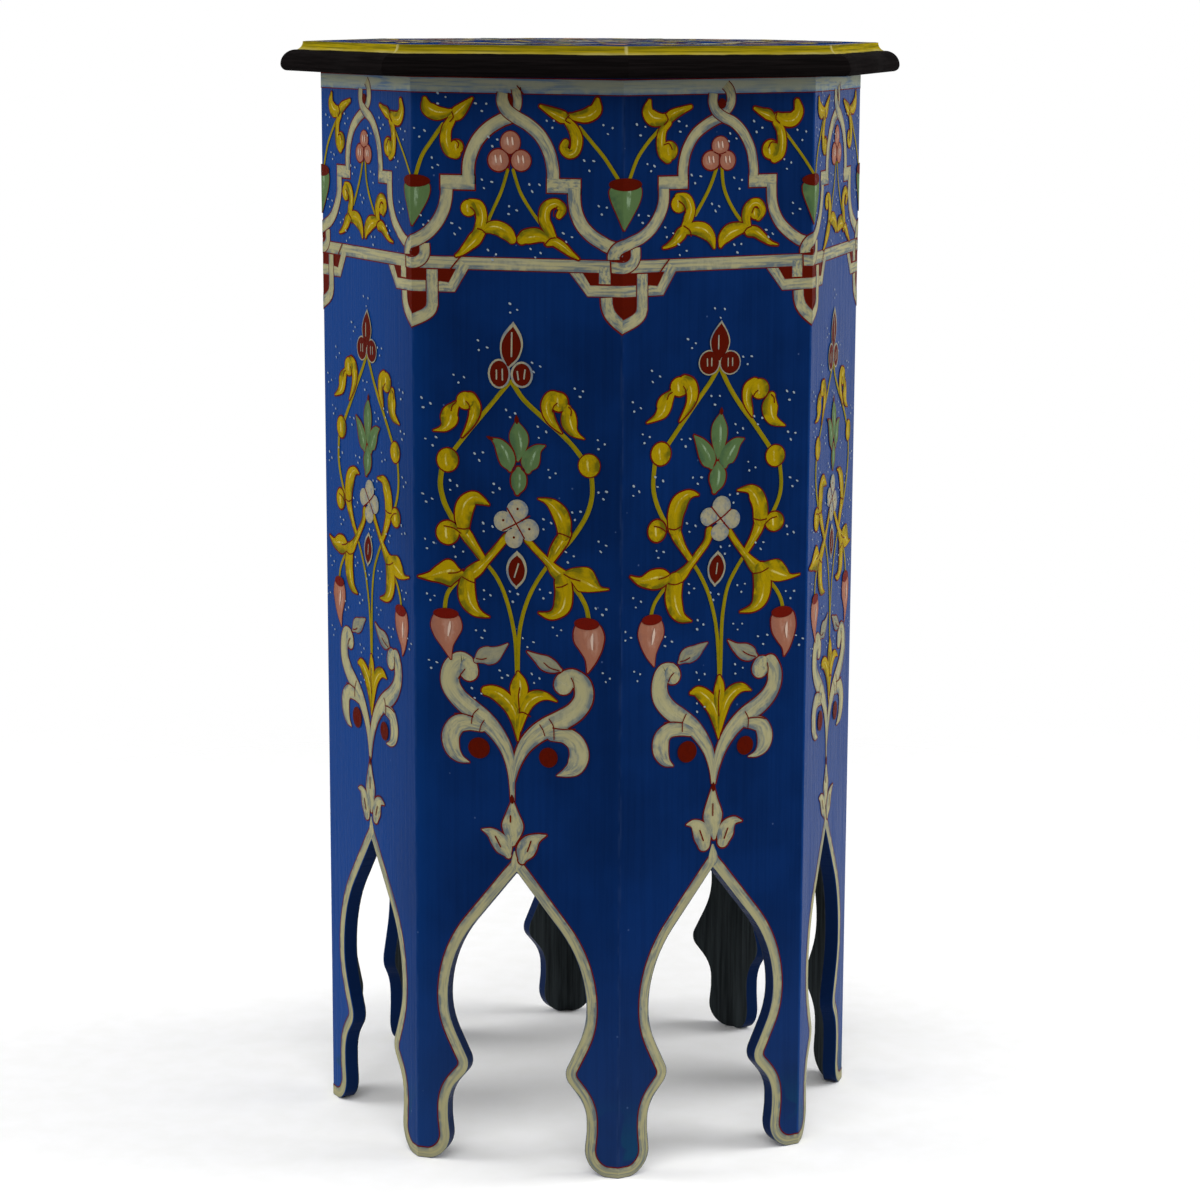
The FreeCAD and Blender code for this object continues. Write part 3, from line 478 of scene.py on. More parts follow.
         (-0.6, 328.3, 2.4), (-0.8, 326.6, 0.5)],
        [(2.2, 420.9, 0.2), (2.1, 418.8, 1.2), (1.9, 417.2, 0.4)],
        [(-0.4, 215.9, 0.6), (-0.4, 213.9, 1.2), (-0.3, 212.2, 0.8)],
    ],
    "seed_rounds": [
        (-5.7, 445.1, 5.9, 6.1),
        (7.1, 444.7, 5.9, 5.9),
        (-17.1, 235.4, 6, 6),
        (19.3, 235, 5.2, 5.3),
        (0.4, 580.3, 2.5, 2.7),
        (2.2, 361.3, 0.8, 0.8),
    ],
    "lines": [
        even(0.28, (-4, 555.4), (-0.8, 554.2), (3, 555.2)),
        even(0.28, (-0.8, 554.2), (-1, 546.6)),
        even(0.32, (-22, 517.5), (-18.4, 515), (-17.6, 512)),
        even(0.32, (14.2, 512.2), (16.2, 514.8), (19, 516)),
        even(0.32, (-25, 530.5), (-22, 528), (-21, 524.4)),
        even(0.32, (-34, 576), (-32, 572.5), (-34.2, 569.8)),
        even(0.32, (34, 575), (33.4, 571.8), (35.8, 569.6)),
        even(0.3, (-21.4, 433.4), (-20.1, 431.4), (-19.8, 429)),
        even(0.3, (-28.2, 430.6), (-30.2, 429.4), (-31.2, 427)),
        even(0.3, (24.6, 428.8), (23, 427.6), (21.8, 425.8)),
        even(0.3, (33, 426), (34.6, 424.4), (35, 421.6)),
        even(0.3, (-38.4, 360), (-34.4, 358.8), (-30.8, 356.1)),
        even(0.32, (-30, 358.2), (-25.9, 357.3), (-22.2, 358.6)),
        even(0.32, (23.2, 359.4), (27.1, 358.4), (31, 358.8)),
        even(0.3, (-35.4, 331.4), (-30.9, 332.2), (-27.4, 334)),
        even(0.3, (-29.6, 328.5), (-25.4, 327.5), (-21.2, 328.5)),
        even(0.3, (23.6, 329.5), (28.1, 329.9), (32.6, 331.8)),
        even(0.32, (2.8, 267.4), (2.2, 261.3), (2.6, 253.2)),
        even(0.4, (-3.4, 367.8), (2.2, 361.2), (7.6, 355.1)),
        even(0.4, (-4.9, 357.6), (2.2, 361.2), (8.6, 365.8)),
        even(0.32, (-29, 275), (-27.8, 277.5), (-25.8, 279.5)),
        even(0.32, (32.8, 279.4), (33.4, 276), (33, 272.4)),
        even(0.3, (-17.9, 256.2), (-20, 251.9), (-20.2, 246.9)),
        even(0.3, (19.1, 253.8), (21.2, 249.9), (21, 244.9)),
        even(0.32, (21.1, 249.9), (26.6, 249.9), (32.6, 248.4)),
        even(0.3, (23.6, 525.4), (20.8, 525.8), (19.4, 523)),
        even(0.3, (-34.2, 559.6), (-31.2, 560.2), (-29.4, 557.2)),
        even(0.3, (33.8, 559.4), (30.8, 559.8), (29, 556.8)),
        even(0.3, (37.4, 359.6), (33.4, 358.6), (30, 355.9)),
        even(0.32, (-31.4, 252.8), (-25.4, 252.6), (-20.2, 251.7)),
        even(0.3, (-21.9, 285.4), (-18.8, 285.8), (-16, 287)),
        even(0.3, (17.2, 287.3), (20.6, 285.2), (25.2, 283.6)),
        even(0.4, (-0.6, 204.4), (-0.6, 198)),
        even(0.4, (-8.6, 190.4), (-6.4, 184.6)),
        even(0.4, (9, 189.6), (6.8, 184.2)),
    ],
    "dashes": [
        even(0.4, (-0.1, 459.2), (-0.2, 452.3)),
        even(0.35, (-7, 447.2), (-6.9, 443.4)),
        even(0.35, (-4.3, 447.4), (-4.3, 443.4)),
        even(0.35, (5.8, 447), (5.8, 442.9)),
        even(0.35, (8.5, 447), (8.5, 443.1)),
        even(0.35, (0.6, 337), (-0.2, 331.4)),
    ],
    "dots": [
        (-48.5, 568), (-24, 569.3), (-42, 548.6), (6.6, 562.8), (22, 567.8), (49.6, 563.6), (41.3, 549),
        (-15, 542.3), (11.2, 539.4), (-2.5, 526.8), (46, 524.6), (-46, 522), (-31.5, 514.4), (30.4, 512.1),
        (-22.8, 504.8), (11.3, 505.4), (0.4, 472), (-16.4, 455.6), (17.8, 446.2), (-38.8, 439.5),
        (-50.1, 423.8), (44.9, 425.4), (-2.1, 426.1), (25, 412.8), (12.5, 408.9), (-44.1, 407),
        (-19.6, 403.7), (45.8, 403.5), (20.9, 388), (-49.6, 380.1), (-35.7, 383.9), (-11.8, 383.2),
        (48.1, 378.1), (10, 372.4), (-16.4, 357.7), (45.7, 351.3), (-34.9, 345), (5, 344.8),
        (27, 345.5), (-15.6, 324.4), (16, 322.9), (-49.1, 320.4), (-1.1, 319.7), (46.8, 316.7),
        (-10.4, 304.5), (13.7, 302), (-54.6, 302), (-29.7, 297.3), (29.7, 293.6), (52.6, 290.7),
        (-48.4, 280.6), (-9.3, 277.1), (14.4, 278), (-9.6, 259.2),
    ],
    "faint_leaves": [
        [(-21.9, 285.1, 1.2), (-18.4, 287.8, 4), (-13.4, 289.3, 4), (-8.9, 292, 2.2), (-5.2, 294, 0.4)],
        [(8.1, 294, 0.3), (12.6, 290, 2.2), (18.1, 287.1, 4.3), (23.1, 285.1, 3.6), (25.6, 284.1, 1)],
    ],
    "scrolls": [
        [(-0.4, 216.4, 1.2), (-0.9, 224.2, 2), (-3.4, 234, 3), (-8.4, 242.6, 3.8),
         (-14.4, 249.4, 4.4), (-21.4, 254.7, 4.8), (-28.4, 259.8, 4.8), (-33.4, 266.4, 4.8),
         (-34.4, 274, 4.6), (-31.9, 280.1, 4.8), (-27.9, 280.8, 4.4)],
        [(-26.8, 279.5, 4.6), (-26.2, 277.9, 4.6)],
        [(-15.4, 246.5, 2.6), (-21.4, 248.4, 3.6), (-28.4, 248.2, 4), (-32.9, 244.1, 4.8),
         (-33.2, 237.4, 4.6), (-30.4, 231.6, 2.8), (-25.9, 228.6, 0.4)],
        [(0.1, 216, 0.8), (1.5, 226, 2.2), (4.5, 235, 3.2), (9.5, 243, 4), (15, 248.5, 4.5),
         (20.5, 252.3, 4.8), (28.2, 256.6, 4.9), (34, 261.5, 4.6), (37.4, 267.5, 4.3),
         (37.6, 274, 4.3), (34.6, 279.2, 4.6)],
        [(29.2, 278.4, 5.2), (28.4, 276.8, 5.2)],
        [(20.4, 247.6, 2.8), (25, 247, 3.6), (29.7, 245, 4.3), (32, 239.3, 4.7), (31, 233.6, 4),
         (27, 229.6, 1.9), (21.9, 228.5, 0.3)],
        [(-0.5, 213.4, 0.8), (-0.7, 207, 3), (-0.6, 200.8, 5.2), (-0.4, 196.7, 5.7), (0, 190.8, 3.8),
         (0.5, 185.4, 1.2)],
        [(-16.8, 194.7, 0.3), (-12.6, 194.6, 2.4), (-8.8, 191.2, 4.6), (-6.7, 186.5, 5),
         (-5.8, 182.4, 3.8)],
        [(17.7, 192.7, 0.3), (13, 193.4, 2.3), (9.2, 190.6, 4.5), (7.3, 186.4, 4.9), (6.2, 182.8, 3.6)],
    ],
}

# The knot and the bud that two sides share at their corner. Across is from the corner,
# and each side takes its own half.
KNOT = {
    "grounds": [
        [(-23, 495), (27, 495), (21, 486), (-19, 486)],
        [(-8, 482.5), (11, 482.5), (10.5, 473), (0, 467), (-7.5, 473)],
        [(-4, 506), (6, 506), (6, 499.5), (-4, 499.5)],
    ],
    "under_bars": [even(2.9, (-26.4, 495.5), (-18.2, 484.5), (13, 484.7))],
    "low_bars": [even(2.9, (12, 484.7), (22.4, 484.4), (29.8, 497))],
    "mid_strands": [
        even(2.8, (7.2, 507), (7.4, 502.6), (6.1, 499.4), (3.1, 497.3), (-0.5, 496.7), (-6.4, 497)),
    ],
    "buds": [
        [(1.5, 541, 1), (1.6, 538.5, 7.6), (1.7, 535.5, 9), (1.6, 530.5, 7.8), (1.2, 523.5, 4.2),
         (0.6, 516.5, 0.3)],
    ],
    "seed_rounds": [(1.6, 539.6, 9.3, 3.3)],
    "lines": [
        even(0.4, (-6.6, 500.2), (-6.2, 494)),
        even(0.4, (27.4, 500.4), (24.2, 496.8), (21.6, 493.6)),
    ],
}
LEFT_KNOT = {
    "low_bars": [even(3.1, (-9.7, 497), (-9.7, 488.3))],
    "low_strands": [even(3.1, (-8.7, 481.2), (-8.2, 476.4), (-6.4, 472.2), (-2.6, 468.4), (4, 463.6))],
    "high_strands": [even(3.1, (4, 509.2), (0, 507.8), (-2.8, 506.2), (-4.8, 503.4), (-4.9, 501))],
}
RIGHT_KNOT = {
    "high_bars": [even(3.1, (11.5, 493.4), (11.5, 474.2))],
    "high_strands": [even(3.1, (11.5, 476), (10.6, 472.4), (7.1, 469.4), (0, 466.2), (-4, 464.6))],
}

# Brush work on the top. Its marks run outward from the middle: across, reach, half width.
TOP_STAR = {
    "low_bars": [
        even(1.7, (-70, 146.2), (70, 146.2)),
        even(2.8, (-40, 79.2), (40, 79.2)),
    ],
    "mid_bars": [[(37, 75, 2.8), (0, 112, 3.96), (-37, 75, 2.8)]],
    "stems": [even(1, (0, 24), (0, 48)), even(1, (0, 115), (0, 121))],
    "leaves": [
        *both((3, 117.5, 0.8), (8, 121, 2.2), (14, 122, 2.7), (19, 118.5, 2.6), (19.5, 113, 2.2),
              (16, 111.5, 1.6)),
        *both((0.8, 38, 0.8), (4, 44, 2.6), (9.5, 48, 2.8), (15.5, 48.5, 0.4)),
    ],
    "over_leaves": [*both((18, 123, 1), (23, 127.5, 3.2), (29, 131, 3), (38, 133, 0.4))],
    "balls": [(0, 0, 4.2, 4.2)],
    "buds": [
        [(0, 119, 0.6), (0, 125, 3.8), (0, 131, 4.2), (0, 139, 0.4)],
        [(0, 47, 0.6), (0, 53, 3.8), (0, 59, 4.2), (0, 67, 0.4)],
    ],
    "halos": [
        [(0, 106.5, 0.4), (0, 102, 3.4), (0, 97.5, 4.6), (0, 93.4, 3)],
        [(0, 8, 2), (0, 14, 4.4), (0, 20, 4.8), (0, 25, 2)],
    ],
    "halo_rounds": [(-5, 88.6, 4.6, 4.4), (5, 88.6, 4.6, 4.4)],
    "seeds": [[(0, 104.6, 0.4), (0, 101.4, 2.4), (0, 97.5, 3.4), (0, 94, 2)]],
    "seed_rounds": [(-5, 88.6, 3.5, 3.3), (5, 88.6, 3.5, 3.3)],
    "lines": [even(0.35, (0, 12), (0, 22))],
    "dots": [(-13, 66), (13, 66), (-26, 106), (26, 106), (-44, 137), (44, 137), (-10, 133), (10, 133)],
}
TOP_CORNER = {
    "stems": [even(1, (0, 26), (0, 60)), even(1.1, (0, 88), (0, 104))],
    "pods": [[(0, 103, 1), (0, 105.4, 4.8), (0, 112, 6.6), (0.4, 119, 5), (1.2, 126, 2.2), (3, 132, 0.3)]],
    "berries": [(0, 23, 2.6, 4.2)],
    "leaves": [*both((1, 92, 0.8), (5.5, 97, 2.6), (10.5, 103, 2.8), (13, 111, 0.4))],
    "balls": [(0, 70, 3.6, 3.6)],
    "seed_rounds": [(0, 104, 5.2, 2.2), (0, 60, 2.6, 2.6)],
    "dots": [(0, 144), (-14, 120), (14, 120), (-8, 34), (8, 34)],
}


# Drawing of strokes

# The least half width of a stroke, and the angles in degrees at which a disc and a round
# end have their points.
LEAST_HALF = 0.05
DISC_ANGLES = range(-85, 86, 17)
CAP_ANGLES = (25, 50, 70, 86)

# Shares of a coat: between two marks of one layer, and between a red line and its mark.
HAIR = 0.02
OVER_LINE = 0.5

# Red lines differ: their width starts at the first share of the set width and goes up by
# the second at most, in steps that do not repeat.
LINE_THIN = 0.75
LINE_SPREAD = 0.5
LINE_STEP = 0.618

# Dabs on a berry, on its left and its right: shares of its half sizes from its middle,
# then half width. The dab along a pod: which of its points, the share of the half width
# there, the rise above it, then half width.
BERRY_DAB_SIDES = (-0.26, 0.24)
BERRY_DAB = ((-0.05, 0.45, 0.3), (0.0, 0.1, 0.5), (0.05, -0.2, 0.3))
POD_DAB = ((2, 0.25, 2.5, 0.25), (2, 0.2, -1.0, 0.85), (3, 0.15, 0.0, 0.3))

# Dots stand in threes: their places in a group, how far the group leans in radians, and
# how far a dot strays.
THREE_DOTS = ((-2.6, 1.4), (2.3, 1.0), (0.1, -2.8))
DOT_LEAN = (-0.6, 0.1)
DOT_STRAY = 0.7

# The arch is found among the corners of a side's mesh: on the outer face to within so
# many metres, then in millimetres past the middle line, inside the foot and below a height.
ON_FACE = 0.00001
MIDDLE_SLACK = 0.001
FOOT_INSIDE = 3
ARCH_BELOW = 200

# The border of the arch: spacing of its points, its gap to the edge and how far it runs on
# past the arch's point. Its way at a point is taken from so many points off.
BORDER_STEP = 2.0
BORDER_GAP = 0.25
BORDER_RUN_ON = (2, 4, 6)
BORDER_REACH = 4


def smooth_run(points, steps=5):
    """A smooth run of points through a stroke's own points."""
    ends = [points[0], *points, points[-1]]
    run = []
    for first, second, third, fourth in zip(ends, ends[1:], ends[2:], ends[3:]):
        for step in range(steps):
            t = step / steps
            weights = (
                (-t + 2 * t ** 2 - t ** 3) / 2,
                (2 - 5 * t ** 2 + 3 * t ** 3) / 2,
                (t + 4 * t ** 2 - 3 * t ** 3) / 2,
                (-t ** 2 + t ** 3) / 2,
            )
            knots = zip(first, second, third, fourth)
            run.append(tuple(sum(w * k for w, k in zip(weights, knot)) for knot in knots))
    run.append(points[-1])
    return [(across, height, max(half, LEAST_HALF)) for across, height, half in run]


def disc_run(across, height, half_across, half_height):
    """A disc as a stroke from its lowest to its highest point."""
    turns = [math.radians(angle) for angle in DISC_ANGLES]
    return [(across, height + half_height * math.sin(t), half_across * math.cos(t)) for t in turns]


def round_end(inner, end):
    """The points past a stroke's last point that give it a round end."""
    away = Vector((end[0] - inner[0], end[1] - inner[1]))
    away.normalize()
    cap = []
    for angle in CAP_ANGLES:
        reach = end[2] * math.sin(math.radians(angle))
        half = end[2] * math.cos(math.radians(angle))
        cap.append((end[0] + away.x * reach, end[1] + away.y * reach, half))
    return cap


def square_end(inner, end, reach):
    """A bar's last point, moved outward by a line's width."""
    away = Vector((end[0] - inner[0], end[1] - inner[1]))
    away.normalize()
    return (end[0] + away.x * reach, end[1] + away.y * reach, end[2])


def stroke_run(mark, way, swell):
    """The points of a mark as it is drawn, wider by swell on all sides."""
    if way == "disc":
        across, height, half_across, half_height = mark
        return disc_run(across, height, half_across + swell, half_height + swell)
    if way == "strand":
        return [(across, height, half + swell) for across, height, half in smooth_run(mark)]
    if way == "bar":
        run = [(across, height, half + swell) for across, height, half in mark]
        first = square_end(run[1], run[0], swell)
        last = square_end(run[-2], run[-1], swell)
        return [first, *run[1:-1], last]
    run = [(across, height, half + swell) for across, height, half in smooth_run(mark)]
    return [*reversed(round_end(run[1], run[0])), *run, *round_end(run[-2], run[-1])]


def on_side(across, height, lift):
    """Where a mark on the first side stands, lift above the paint under it."""
    return Vector((across * MM, -FACE - lift * MM, height * MM))


def on_top(across, reach, lift):
    """Where a mark on the top stands, lift above the paint under it."""
    return Vector((across * MM, -reach * MM, TOP + lift * MM))


def add_ribbon(mesh, place, run, lift):
    """A flat ribbon along a run, with its length and width as stroke coordinates."""
    uv = mesh.loops.layers.uv.verify()
    rows = []
    for index, (across, height, half) in enumerate(run):
        before = run[max(index - 1, 0)]
        after = run[min(index + 1, len(run) - 1)]
        along = Vector((after[0] - before[0], after[1] - before[1]))
        along.normalize()
        left = mesh.verts.new(place(across - along.y * half, height + along.x * half, lift))
        right = mesh.verts.new(place(across + along.y * half, height - along.x * half, lift))
        rows.append((left, right))
    last = len(rows) - 1
    for index in range(last):
        (left, right), (next_left, next_right) = rows[index], rows[index + 1]
        face = mesh.faces.new((left, right, next_right, next_left))
        near, far = index / last, (index + 1) / last
        for loop, spot in zip(face.loops, ((near, 0), (near, 1), (far, 1), (far, 0))):
            loop[uv].uv = spot


def add_patch(mesh, place, corners, lift):
    """A flat patch with straight sides."""
    uv = mesh.loops.layers.uv.verify()
    face = mesh.faces.new([mesh.verts.new(place(across, height, lift)) for across, height in corners])
    for loop in face.loops:
        loop[uv].uv = (0.5, 0.5)


def coat_lift(brush, level, order):
    """How high a mark's coat lies, with marks of one layer a hair above each other."""
    return (brush.first_coat + (level + order * HAIR) * brush.coat_step) / MM


def line_width(brush, order):
    """Width of the red line round a mark of a layer."""
    return brush.outline / MM * (LINE_THIN + LINE_SPREAD * math.modf(order * LINE_STEP)[0])


def draw_marks(mesh, place, design, paint, brush):
    """Every mark that one paint makes in a design, each layer over the one before it."""
    for level, (layer, colour, way, under) in enumerate(LAYERS):
        for order, mark in enumerate(design.get(layer, ())):
            if under and paint == "red":
                lift = coat_lift(brush, LEVELS[under], order)
                add_ribbon(mesh, place, stroke_run(mark, way, line_width(brush, order)), lift)
            if colour != paint:
                continue
            lift = coat_lift(brush, level + OVER_LINE, order)
            if way == "patch":
                add_patch(mesh, place, mark, lift)
            else:
                add_ribbon(mesh, place, stroke_run(mark, way, 0.0), lift)


def shifted(mark, way, across):
    """A mark moved across its side."""
    if way == "disc":
        return (mark[0] + across, *mark[1:])
    return [(point[0] + across, *point[1:]) for point in mark]


def berry_dabs(design):
    """Two short pale dabs on each berry and one along each pod."""
    dabs = []
    for across, height, half, tall in design.get("berries", ()):
        for aside in BERRY_DAB_SIDES:
            dab = []
            for lean, rise, thick in BERRY_DAB:
                dab.append((across + (aside + lean) * half, height + rise * tall, thick))
            dabs.append(dab)
    for pod in design.get("pods", ()):
        dab = []
        for index, share, rise, thick in POD_DAB:
            across, height, half = pod[index]
            dab.append((across + share * half, height + rise, thick))
        dabs.append(dab)
    return dabs


def whole_side(design):
    """A side's design with the halves of the knots at its two corners."""
    whole = {"dabs": berry_dabs(design)}
    for layer, _, way, _ in LAYERS:
        marks = [*whole.get(layer, ()), *design.get(layer, ())]
        for knot, corner in ((KNOT, CORNER), (LEFT_KNOT, CORNER), (KNOT, -CORNER), (RIGHT_KNOT, -CORNER)):
            marks += [shifted(mark, way, corner) for mark in knot.get(layer, ())]
        whole[layer] = marks
    return whole


def trim_to_sector(mesh):
    """Cuts a design at the two corners of its side, where the next side's design goes on."""
    for sign in (-1, 1):
        parts = [*mesh.verts, *mesh.edges, *mesh.faces]
        across = (sign * math.cos(HALF_TURN), math.sin(HALF_TURN), 0.0)
        bmesh.ops.bisect_plane(mesh, geom=parts, plane_co=(0, 0, 0), plane_no=across, clear_outer=True)


def face_outward(mesh, outward):
    """Turns every face of a flat design towards its viewer."""
    mesh.normal_update()
    hidden = [face for face in mesh.faces if face.normal.dot(outward) < 0]
    bmesh.ops.reverse_faces(mesh, faces=hidden)


def motif_object(name, mesh):
    """A design as an object, ready to be carried round the table."""
    data = bpy.data.meshes.new(name)
    mesh.to_mesh(data)
    mesh.free()
    motif = bpy.data.objects.new(name, data)
    bpy.context.scene.collection.objects.link(motif)
    return motif


def arch_edge():
    """Right half of the arch on the outer face, from the corner along the foot up to its point."""
    corners = set()
    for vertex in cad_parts["side_panel_1"].data.vertices:
        across, height = vertex.co.x / MM, vertex.co.z / MM
        on_face = abs(vertex.co.y + FACE) < ON_FACE
        if on_face and -MIDDLE_SLACK < across < CORNER - FOOT_INSIDE and height < ARCH_BELOW:
            corners.add((round(height, 3), round(across, 3)))
    return [(CORNER, 0.0)] + [(across, height) for height, across in sorted(corners)]


def evenly(path, spacing):
    """Points at an even spacing along a path of straight runs."""
    spaced = [path[0]]
    left = spacing
    for (x0, z0), (x1, z1) in zip(path, path[1:]):
        length = math.hypot(x1 - x0, z1 - z0)
        gone = left
        while gone <= length:
            spaced.append((x0 + (x1 - x0) * gone / length, z0 + (z1 - z0) * gone / length))
            gone += spacing
        left = gone - length
    return spaced


def arch_border(offset, half):
    """A band along the right half of the arch, offset into the wood, run on past the point."""
    path = evenly(arch_edge(), BORDER_STEP)
    (x0, z0), (x1, z1) = path[-BORDER_REACH], path[-1]
    rise = math.hypot(x1 - x0, z1 - z0)
    for run in BORDER_RUN_ON:
        path.append((x1 + (x1 - x0) / rise * run, z1 + (z1 - z0) / rise * run))
    band = []
    for index, (across, height) in enumerate(path):
        before = path[max(index - BORDER_REACH, 0)]
        after = path[min(index + BORDER_REACH, len(path) - 1)]
        along = Vector((after[0] - before[0], after[1] - before[1]))
        along.normalize()
        band.append((across + along.y * offset, height - along.x * offset, half))
    return band


def draw_border(mesh, paint, brush):
    """The pale band round the arch, with a red line along its blue side."""
    half = brush.border / MM / 2
    inset = half + BORDER_GAP
    offsets = {"red": inset + brush.outline / MM, "ivory": inset}
    if paint not in offsets:
        return
    lift = brush.first_coat / MM + brush.coat_step / MM
    if paint == "ivory":
        lift += OVER_LINE * brush.coat_step / MM
    right = bmesh.new()
    right.loops.layers.uv.new(STROKE_UV)
    add_ribbon(right, on_side, arch_border(offsets[paint], half), lift)
    parts = [*right.verts, *right.edges, *right.faces]
    bmesh.ops.bisect_plane(right, geom=parts, plane_co=(0, 0, 0), plane_no=(-1, 0, 0), clear_outer=True)
    half_band = bpy.data.meshes.new("half_band")
    right.to_mesh(half_band)
    right.free()
    mesh.from_mesh(half_band)
    half_band.transform(Matrix.Diagonal((-1, 1, 1, 1)))
    mesh.from_mesh(half_band)
    bpy.data.meshes.remove(half_band)


def side_motif(name, design, paint, brush):
    """One side's marks in one paint."""
    mesh = bmesh.new()
    mesh.loops.layers.uv.new(STROKE_UV)
    draw_border(mesh, paint, brush)
    draw_marks(mesh, on_side, whole_side(design), paint, brush)
    trim_to_sector(mesh)
    face_outward(mesh, Vector((0, -1, 0)))
    return motif_object(name, mesh)


def top_motif(name, design, paint, brush):
    """One sector of the top's marks in one paint."""
    mesh = bmesh.new()
    mesh.loops.layers.uv.new(STROKE_UV)
    draw_marks(mesh, on_top, design, paint, brush)
    trim_to_sector(mesh)
    face_outward(mesh, Vector((0, 0, 1)))
    return motif_object(name, mesh)


# Nodes


def plug(tree, socket, value):
    """Links a socket to another node's output, or sets its plain value."""
    if isinstance(value, bpy.types.NodeSocket):
        tree.links.new(value, socket)
    elif socket.type == "RGBA":
        socket.default_value = (*value, 1.0)
    else:
        socket.default_value = value


def plug_all(tree, node, values):
    """Links or sets several sockets of a node."""
    for key, value in values.items():
        plug(tree, node.inputs[key], value)


def add(tree, kind, inputs, **settings):
    """A node with its settings and inputs."""
    node = tree.nodes.new(kind)
    for name, value in settings.items():
        setattr(node, name, value)
    plug_all(tree, node, inputs)
    return node


def calc(tree, operation, *values):
    """One step of arithmetic on one, two or three values."""
    return add(tree, "ShaderNodeMath", dict(enumerate(values)), operation=operation).outputs[0]


def times(tree, first, second):
    """Two values multiplied."""
    return calc(tree, "MULTIPLY", first, second)


def blend(tree, factor, first, second):
    """Two colours mixed by a mask."""
    node = add(tree, "ShaderNodeMix", {0: factor, 6: first, 7: second}, data_type="RGBA")
    return node.outputs[2]


def ease(tree, value, low, high, to_low=0.0, to_high=1.0):
    """A value brought smoothly from one range to another."""
    inputs = {"Value": value, "From Min": low, "From Max": high, "To Min": to_low, "To Max": to_high}
    return add(tree, "ShaderNodeMapRange", inputs, interpolation_type="SMOOTHSTEP").outputs[0]


def fall(tree, value, low, high):
    """A value brought smoothly from 1 down to 0 over a range."""
    return ease(tree, value, low, high, 1.0, 0.0)


def spread(tree, value, to_low, to_high):
    """A mask from 0 to 1 brought smoothly to another range."""
    return ease(tree, value, 0.0, 1.0, to_low, to_high)


def noise(tree, point, scale, detail=2.0, rough=0.5):
    """Cloudy noise between 0 and 1."""
    inputs = {"Vector": point, "Scale": scale, "Detail": detail, "Roughness": rough}
    return add(tree, "ShaderNodeTexNoise", inputs).outputs[0]


def patches(tree, point, scale, low, high, detail=2.0, rough=0.5):
    """Cloudy patches with soft edges, where the noise is between low and high."""
    return ease(tree, noise(tree, point, scale, detail, rough), low, high)


def stretch(tree, point, x, y, z):
    """A point scaled on each axis."""
    node = add(tree, "ShaderNodeVectorMath", {0: point, 1: (x, y, z)}, operation="MULTIPLY")
    return node.outputs[0]


SOCKET_KINDS = {
    "float": "NodeSocketFloat",
    "vector": "NodeSocketVector",
    "geometry": "NodeSocketGeometry",
    "object": "NodeSocketObject",
    "count": "NodeSocketInt",
    "material": "NodeSocketMaterial",
}


def new_group(name, kind, inputs, outputs):
    """An empty node group with named sockets, its input node and its output node."""
    tree = bpy.data.node_groups.new(name, kind)
    for label, socket in inputs:
        tree.interface.new_socket(label, in_out="INPUT", socket_type=SOCKET_KINDS[socket])
    for label, socket in outputs:
        tree.interface.new_socket(label, in_out="OUTPUT", socket_type=SOCKET_KINDS[socket])
    return tree, tree.nodes.new("NodeGroupInput"), tree.nodes.new("NodeGroupOutput")


def made_once(build):
    """Lets a function that builds a node group give back the group that it built before."""
    name = build.__name__.replace("_", " ")

    def find_or_build():
        return bpy.data.node_groups.get(name) or build(name)

    return find_or_build


def use(tree, group, inputs):
    """A shader group placed in a material with its own values."""
    node = tree.nodes.new("ShaderNodeGroup")
    node.node_tree = group
    plug_all(tree, node, inputs)
    return node


# Shader groups that several finishes share

# Metres between one side's place in the noise and the next side's, so that no two are alike.
SIDE_APART = 0.73

# Noise: its scale, and the low and the high value between which it turns into a patch.
BRUSH_MARKS = (1.0, 0.3, 0.7)
COAT_CLOUDS = (18.0, 0.32, 0.68)
STREAKS = (1.0, 0.42, 0.66)

# On a stroke: how often streaks repeat along and across it, and in shares of its length or
# width where its edge, its shaded side and its highlight begin and end. A speck's edge is
# a share of the space between specks.
STREAKS_IN_STROKE = (5.0, 4.5, 1.0)
STROKE_EDGE = (0.6, 1.0)
STROKE_SIDE = (0.5, 0.95)
GLINT_EDGE = (0.5, 1.0)
GLINT_BEGINS = (0.28, 0.4)
GLINT_ENDS = (0.55, 0.72)
SPECK_EDGE = (0.12, 0.3)


@made_once
def octagon_space(name):
    """How far a point is from the axis square to its side, across that side and up."""
    outputs = [
        ("Depth", "float"),
        ("Across", "float"),
        ("Height", "float"),
        ("Flat", "vector"),
        ("To corner", "float"),
    ]
    tree, given, result = new_group(name, "ShaderNodeTree", [("Point", "vector")], outputs)
    axes = add(tree, "ShaderNodeSeparateXYZ", {0: given.outputs["Point"]})
    x, y, z = axes.outputs
    angle = calc(tree, "ARCTAN2", y, x)
    side = calc(tree, "ROUND", calc(tree, "DIVIDE", angle, 2 * HALF_TURN))
    turn = calc(tree, "SUBTRACT", angle, times(tree, side, 2 * HALF_TURN))
    square = calc(tree, "ADD", times(tree, x, x), times(tree, y, y))
    radius = calc(tree, "SQRT", square)
    depth = times(tree, radius, calc(tree, "COSINE", turn))
    across = times(tree, radius, calc(tree, "SINE", turn))
    limit = times(tree, depth, math.tan(HALF_TURN))
    flat = add(tree, "ShaderNodeCombineXYZ", {0: across, 1: times(tree, side, SIDE_APART), 2: z})
    plug_all(tree, result, {
        "Depth": depth,
        "Across": across,
        "Height": z,
        "Flat": flat.outputs[0],
        "To corner": calc(tree, "SUBTRACT", limit, calc(tree, "ABSOLUTE", across)),
    })
    return tree


